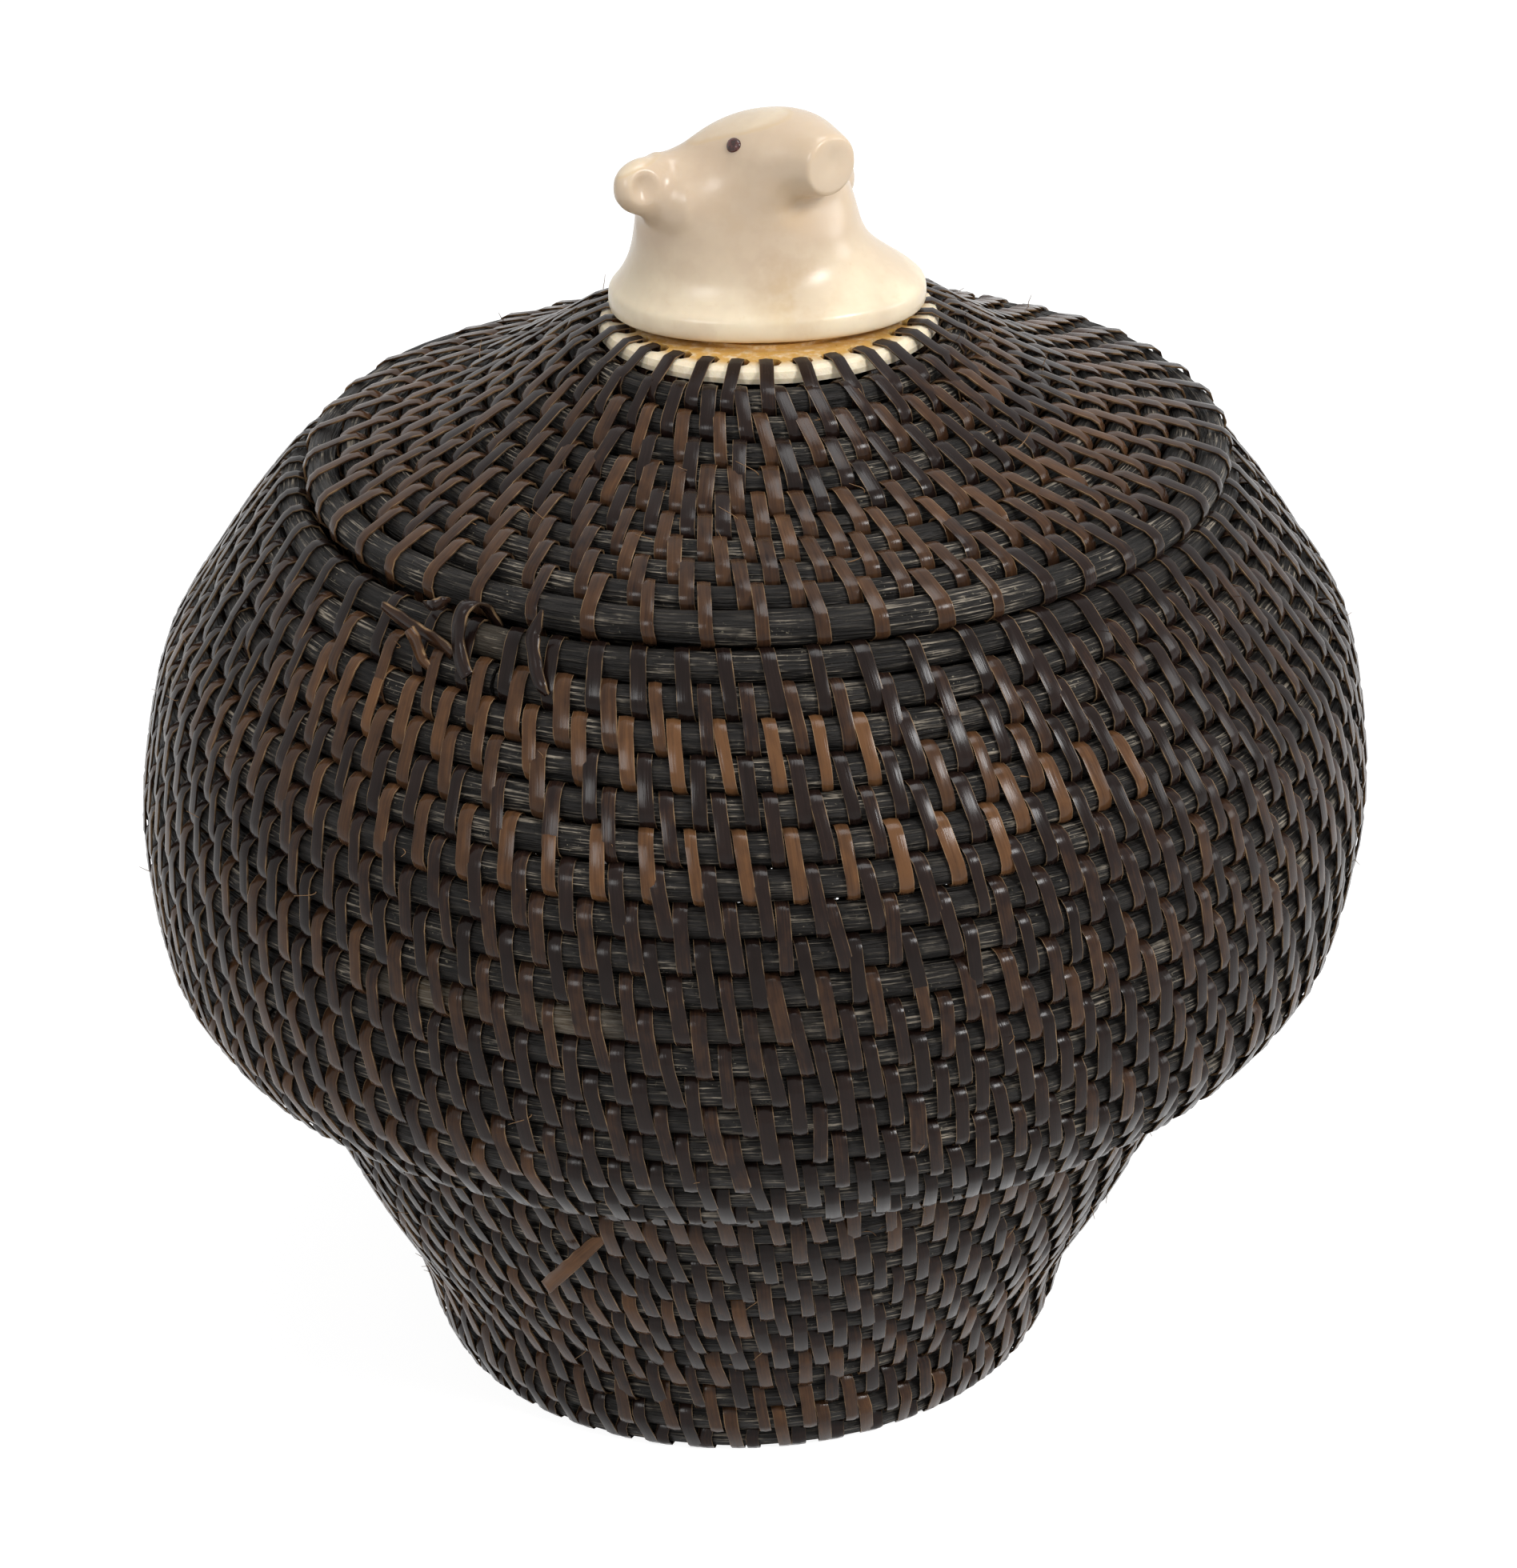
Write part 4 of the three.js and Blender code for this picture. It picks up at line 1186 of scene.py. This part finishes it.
# Height, half length, half width and sideways place of the flange and neck
NECK_ROWS = [
    (0, 12.3, 9.1, 0),
    (0.4, 12.55, 9.35, 0),
    (1.1, 12.6, 9.4, 0),
    (1.85, 12.5, 9.3, 0),
    (2.1, 12.25, 9, 0),
    (2.9, 11.5, 8.3, -0.15),
    (3.9, 10.5, 7.6, -0.6),
    (5, 9.6, 7.2, -1.1),
    (6.4, 9.1, 7, -1.45),
    (8.6, 8.7, 6.8, -1.6),
    (10.1, 8.2, 6.7, -1.6),
    (11.5, 7.2, 6, -1.6),
    (12.7, 4.6, 4.2, -1.5),
]
# Place along the head, half width, half height and lift, from the nape to the nose pad
HEAD_ROWS = [
    (-9.8, 2.6, 1.6, -4.5),
    (-7.8, 5, 2.6, -4.6),
    (-4.9, 6.9, 3.6, -3.4),
    (-1.6, 6.8, 4.9, -0.95),
    (1.9, 5.7, 4.95, 0.5),
    (5.1, 4.5, 4, 1.8),
    (8, 3, 2.9, 2.45),
    (9.3, 2.55, 2.6, 2.5),
    (10.1, 2.3, 2.4, 2.55),
]
HEAD_FRAME = (
    Matrix.Translation((-1.1, 0, 11.2))
    @ Matrix.Rotation(math.radians(38 - 180), 4, "Z")
    @ Matrix.Rotation(-math.radians(11), 4, "Y")
)
# Rounded lumps that flow into the neck and head: centre, half sizes, and whether placed on the head
LUMPS = [
    ((8.9, -1.7, -1.5), (3.1, 1.9, 2.45), True),
    ((-9.1, -1.9, -1.7), (3.5, 1.8, 2.8), True),
    ((5.2, -2.2, -1.2), (4.4, 2.6, 2.7), True),
    ((2.8, 1.4, -0.2), (2.7, 5.8, 3.3), True),
    ((-4.3, -1.5, 9.6), (5.9, 5.3, 4.1), False),
    ((-3.2, 4.6, 5.5), (4.6, 4.2, 5.5), False),
]
# Places pushed in, in the ears and on the muzzle: centre, reach and move
EAR_HOLLOWS = [
    ((10.2, 0.3, -1.2), (1.35, 2, 1.7), (-0.1, -0.8, 0)),
    ((-8.6, 0.1, -1.6), (1.7, 2, 2), (0.1, -0.8, 0)),
]
MUZZLE_HOLLOWS = [
    ((-0.2, 9.4, 2.9), (1.5, 1.2, 1.5), (0, -0.2, 0)),
    ((-1.5, 6.5, -1.3), (4.2, 3.6, 2.8), (-0.3, -0.7, 0.3)),
]
NOSE_PLANE = 9.55
NOSE_FLATNESS = 0.9
CHIN = -1.5
CARVING_VOXEL = 0.26

# Turns of smoothing. Only the first few reach the flange, which ends at FLANGE_TOP. The last two
# numbers are for cheek and nape, and for the nose pad.
CARVED_TURNS = 34
FLANGE_TURNS = 2
FLANGE_TOP = 3.0
CARVED_FLAT_TURNS = 220
NOSE_TURNS = 6


CAP_SHARE = 0.12


def capped_loft(bm, rows, ring):
    """Lays a sphere's rows of points on rings along a form, with flat caps over its ends."""
    made = bmesh.ops.create_uvsphere(bm, u_segments=80, v_segments=60, radius=1)
    points = places_of(made["verts"])
    way = 1 - np.arccos(np.clip(points[:, 2], -1, 1)) / math.pi
    fullness = np.clip(np.minimum(way, 1 - way) / CAP_SHARE, 0, 1)
    angle = np.arctan2(points[:, 1], points[:, 0])
    row = smooth_rows(rows, (way - CAP_SHARE) / (1 - 2 * CAP_SHARE))
    put(made["verts"], ring(row, angle, fullness))
    return made["verts"]


def neck_ring(row, angle, fullness):
    def bulge(value):
        return np.sign(value) * np.abs(value) ** 0.93

    x = row[:, 3] + row[:, 1] * fullness * bulge(np.cos(angle))
    return np.stack([x, row[:, 2] * fullness * bulge(np.sin(angle)), row[:, 0]], -1)


def head_ring(row, angle, fullness):
    x = row[:, 1] * fullness * np.cos(angle)
    return np.stack([x, row[:, 0], row[:, 3] + row[:, 2] * fullness * np.sin(angle)], -1)


def pushed(points, centre, reach, move):
    """Points near a centre moved together, most in the middle and none at the reach."""
    away = np.linalg.norm((points - np.array(centre)) / np.array(reach), axis=1)
    share = np.clip(1 - away**2, 0, 1) ** 2
    return points + share[:, None] * np.array(move)


def carved_mesh():
    bm = bmesh.new()
    capped_loft(bm, NECK_ROWS, neck_ring)
    head = capped_loft(bm, HEAD_ROWS, head_ring)
    bmesh.ops.transform(bm, matrix=HEAD_FRAME, verts=head)
    for centre, halves, on_head in LUMPS:
        made = bmesh.ops.create_uvsphere(bm, u_segments=40, v_segments=24, radius=1)
        place = Matrix.Translation(centre) @ Matrix.Diagonal((*halves, 1))
        bmesh.ops.transform(bm, matrix=HEAD_FRAME @ place if on_head else place, verts=made["verts"])
    bmesh.ops.recalc_face_normals(bm, faces=bm.faces)
    rough = to_mesh(bm, "carving")

    def one_skin(holder):
        remesh = holder.modifiers.new("one_skin", "REMESH")
        remesh.mode = "VOXEL"
        remesh.voxel_size = CARVING_VOXEL

    mesh = baked("carved_finial", rough, one_skin)

    bm = bmesh.new()
    bm.from_mesh(mesh)
    for turn in range(CARVED_TURNS):
        low = FLANGE_TOP if turn >= FLANGE_TURNS else -1
        smoothed(bm, [v for v in bm.verts if v.co.z > low], 0.5)
    bmesh.ops.transform(bm, matrix=HEAD_FRAME.inverted(), verts=bm.verts)
    cheek = [v for v in bm.verts if 1 < v.co.x < 7.4 and -6 < v.co.y < 7.6 and -8 < v.co.z < 1.9]
    nape = [v for v in bm.verts if -6.5 < v.co.x < 7 and v.co.y < -2.5 and -9 < v.co.z < 0]
    for part in (cheek, nape):
        smoothed(bm, part, 0.5, CARVED_FLAT_TURNS)
    points = places_of(bm.verts)
    for hollow in EAR_HOLLOWS:
        points = pushed(points, *hollow)
    over = np.maximum(0, points[:, 1] - NOSE_PLANE) * (points[:, 2] > CHIN)
    points[:, 1] -= over * NOSE_FLATNESS
    for hollow in MUZZLE_HOLLOWS:
        points = pushed(points, *hollow)
    put(bm.verts, points)
    pad = [v for v in bm.verts if v.co.y > NOSE_PLANE - 1.4 and v.co.z > CHIN]
    smoothed(bm, pad, 0.5, NOSE_TURNS)
    smoothed(bm, bm.verts, 0.4)
    bmesh.ops.transform(bm, matrix=Matrix.Translation(CARVING) @ HEAD_FRAME, verts=bm.verts)
    bm.to_mesh(mesh)
    bm.free()
    mesh.transform(Matrix.Diagonal((MM, MM, MM, 1)) @ Matrix.Translation((-LID_SHIFT, 0, 0)))
    return mesh


EYE_RADIUS = 0.62


def eye_mesh(carving, side):
    """A small polished bead let into the head where a line from outside meets it."""
    corners, faces = [v.co for v in carving.vertices], [p.vertices for p in carving.polygons]
    tree = BVHTree.FromPolygons(corners, faces)
    to_world = Matrix.Translation(CARVING) @ HEAD_FRAME
    start = to_world @ Vector((side * 14, 3.3, 6.4))
    inward = (to_world @ Vector((side * 4, 3.3, 2.5)) - start).normalized()
    hit, normal, _, _ = tree.ray_cast((start - Vector((LID_SHIFT, 0, 0))) * MM, inward)
    bm = bmesh.new()
    bmesh.ops.create_uvsphere(bm, u_segments=24, v_segments=16, radius=EYE_RADIUS * MM)
    bmesh.ops.scale(bm, vec=(1.05, 0.95, 0.45), verts=bm.verts)
    for vert in bm.verts:
        vert.co *= 1 + 0.03 * math.sin(3 * math.atan2(vert.co.y, vert.co.x) + 1)
    bmesh.ops.rotate(bm, verts=bm.verts, matrix=normal.to_track_quat("Z", "Y").to_matrix())
    bmesh.ops.translate(bm, verts=bm.verts, vec=hit)
    return to_mesh(bm, "eye")


# The stage

CAMERA_FOCAL = 6000.0
CAMERA_TILT = 25.841
CAMERA_ROLL = -1.537
CAMERA_DISTANCE = 398.339
CAMERA_AIM = (0.392, 0, 48.588)
CAMERA_SENSOR = 36
IMAGE_HEIGHT = 1960

WHITE = (1, 1, 1)
FLOOR_PLAIN, FLOOR_SEEN, FLOOR_GLOW = (0.8, 0.8, 0.8), (0.3, 0.3, 0.3), 0.9
FLOOR_DROP = 0.0001
WORLD_LIGHT = 0.36

# Each lamp's place, size and power, all aimed at the same point
LAMP_AIM = (0, 0, 0.05)
LAMPS = {
    "key": ((0.42, -0.4, 0.5), (0.16, 0.16), 2.5),
    "side": ((0.6, -0.05, 0.22), (0.2, 0.2), 0.75),
    "fill": ((-0.35, -0.52, 0.45), (0.2, 0.2), 1.15),
    "top": ((0.1, 0.05, 0.7), (0.3, 0.25), 1.5),
}


def floor_finish(name):
    """A pale matt surface that keeps a soft shadow and shows white to the camera and in reflections."""
    f = Finish(name)
    f.nodes.remove(f.shader)
    plain = f.node("ShaderNodeBsdfDiffuse", FLOOR_PLAIN)
    seen = f.node("ShaderNodeBsdfDiffuse", FLOOR_SEEN)
    glow = f.fill(f.node("ShaderNodeEmission"), {"Strength": FLOOR_GLOW})
    both = f.node("ShaderNodeAddShader", seen.outputs[0], glow.outputs[0])
    f.when_seen(plain, both, f.nodes["Material Output"])
    return f.material


def lamp(name, place, size, power):
    light = bpy.data.lights.new(name, "AREA")
    light.shape = "RECTANGLE"
    light.size, light.size_y = size
    light.energy = power
    obj = bpy.data.objects.new(name, light)
    bpy.context.scene.collection.objects.link(obj)
    turn = (Vector(LAMP_AIM) - Vector(place)).to_track_quat("-Z", "Y").to_matrix().to_4x4()
    obj.matrix_world = Matrix.Translation(place) @ turn


class BASKET_OT_stage(bpy.types.Operator):
    """Set the floor, the soft lights and the camera"""

    bl_idname = "basket.stage"
    bl_label = "Stage"

    def execute(self, context):
        scene = context.scene
        bm = bmesh.new()
        bmesh.ops.create_grid(bm, x_segments=2, y_segments=2, size=3)
        bmesh.ops.translate(bm, verts=bm.verts, vec=(0, 0, -FLOOR_DROP))
        mesh = to_mesh(bm, "floor")
        floor = bpy.data.objects.new("floor", mesh)
        scene.collection.objects.link(floor)
        mesh.materials.append(floor_finish("floor_white"))

        world = bpy.data.worlds.new("studio")
        world.use_nodes = True
        w = Nodes(world.node_tree)
        lit = w.fill(w.nodes["Background"], {"Color": WHITE, "Strength": WORLD_LIGHT})
        w.when_seen(lit, w.node("ShaderNodeBackground", WHITE), w.nodes["World Output"])
        scene.world = world
        for name, (place, size, power) in LAMPS.items():
            lamp(name, place, size, power)

        camera = bpy.data.cameras.new("camera")
        camera.sensor_width = CAMERA_SENSOR
        camera.lens = CAMERA_FOCAL * CAMERA_SENSOR / IMAGE_HEIGHT
        camera.clip_start = 0.01
        camera.clip_end = 20
        tilt, roll = math.radians(CAMERA_TILT), math.radians(CAMERA_ROLL)
        forward = Vector((0, math.cos(tilt), -math.sin(tilt)))
        right = Vector((1, 0, 0))
        up = right.cross(forward)
        across = right * math.cos(roll) + up * math.sin(roll)
        above = up * math.cos(roll) - right * math.sin(roll)
        obj = bpy.data.objects.new("camera", camera)
        scene.collection.objects.link(obj)
        turn = Matrix((across, above, -forward)).transposed().to_4x4()
        stand = (Vector(CAMERA_AIM) - forward * CAMERA_DISTANCE) * MM
        obj.matrix_world = Matrix.Translation(stand) @ turn
        scene.camera = obj
        scene.view_settings.view_transform = "Standard"
        return {"FINISHED"}


class BASKET_PT_panel(bpy.types.Panel):
    """Lists the pieces, sizes and colours of the basket"""

    bl_idname = "BASKET_PT_panel"
    bl_label = "Coiled basket"
    bl_space_type = "VIEW_3D"
    bl_region_type = "UI"
    bl_category = PANEL_TAB

    def draw(self, context):
        layout = self.layout
        for operator in OPERATORS:
            layout.operator(operator.bl_idname)
        for group in (context.scene.basket_sizes, context.scene.basket_colors):
            for name in group.__annotations__:
                layout.prop(group, name)


OPERATORS = [BASKET_OT_rods, BASKET_OT_strips, BASKET_OT_loose, BASKET_OT_ivory, BASKET_OT_stage]
CLASSES = [BasketSizes, BasketColors, *OPERATORS, BASKET_PT_panel]


def register():
    for cls in CLASSES:
        bpy.utils.register_class(cls)
    bpy.types.Scene.basket_sizes = PointerProperty(type=BasketSizes)
    bpy.types.Scene.basket_colors = PointerProperty(type=BasketColors)


def unregister():
    del bpy.types.Scene.basket_colors
    del bpy.types.Scene.basket_sizes
    for cls in reversed(CLASSES):
        bpy.utils.unregister_class(cls)


def main():
    register()
    bpy.ops.basket.rods()
    bpy.ops.basket.strips()
    bpy.ops.basket.loose()
    bpy.ops.basket.ivory()
    bpy.ops.basket.stage()


if __name__ == "__main__":
    main()
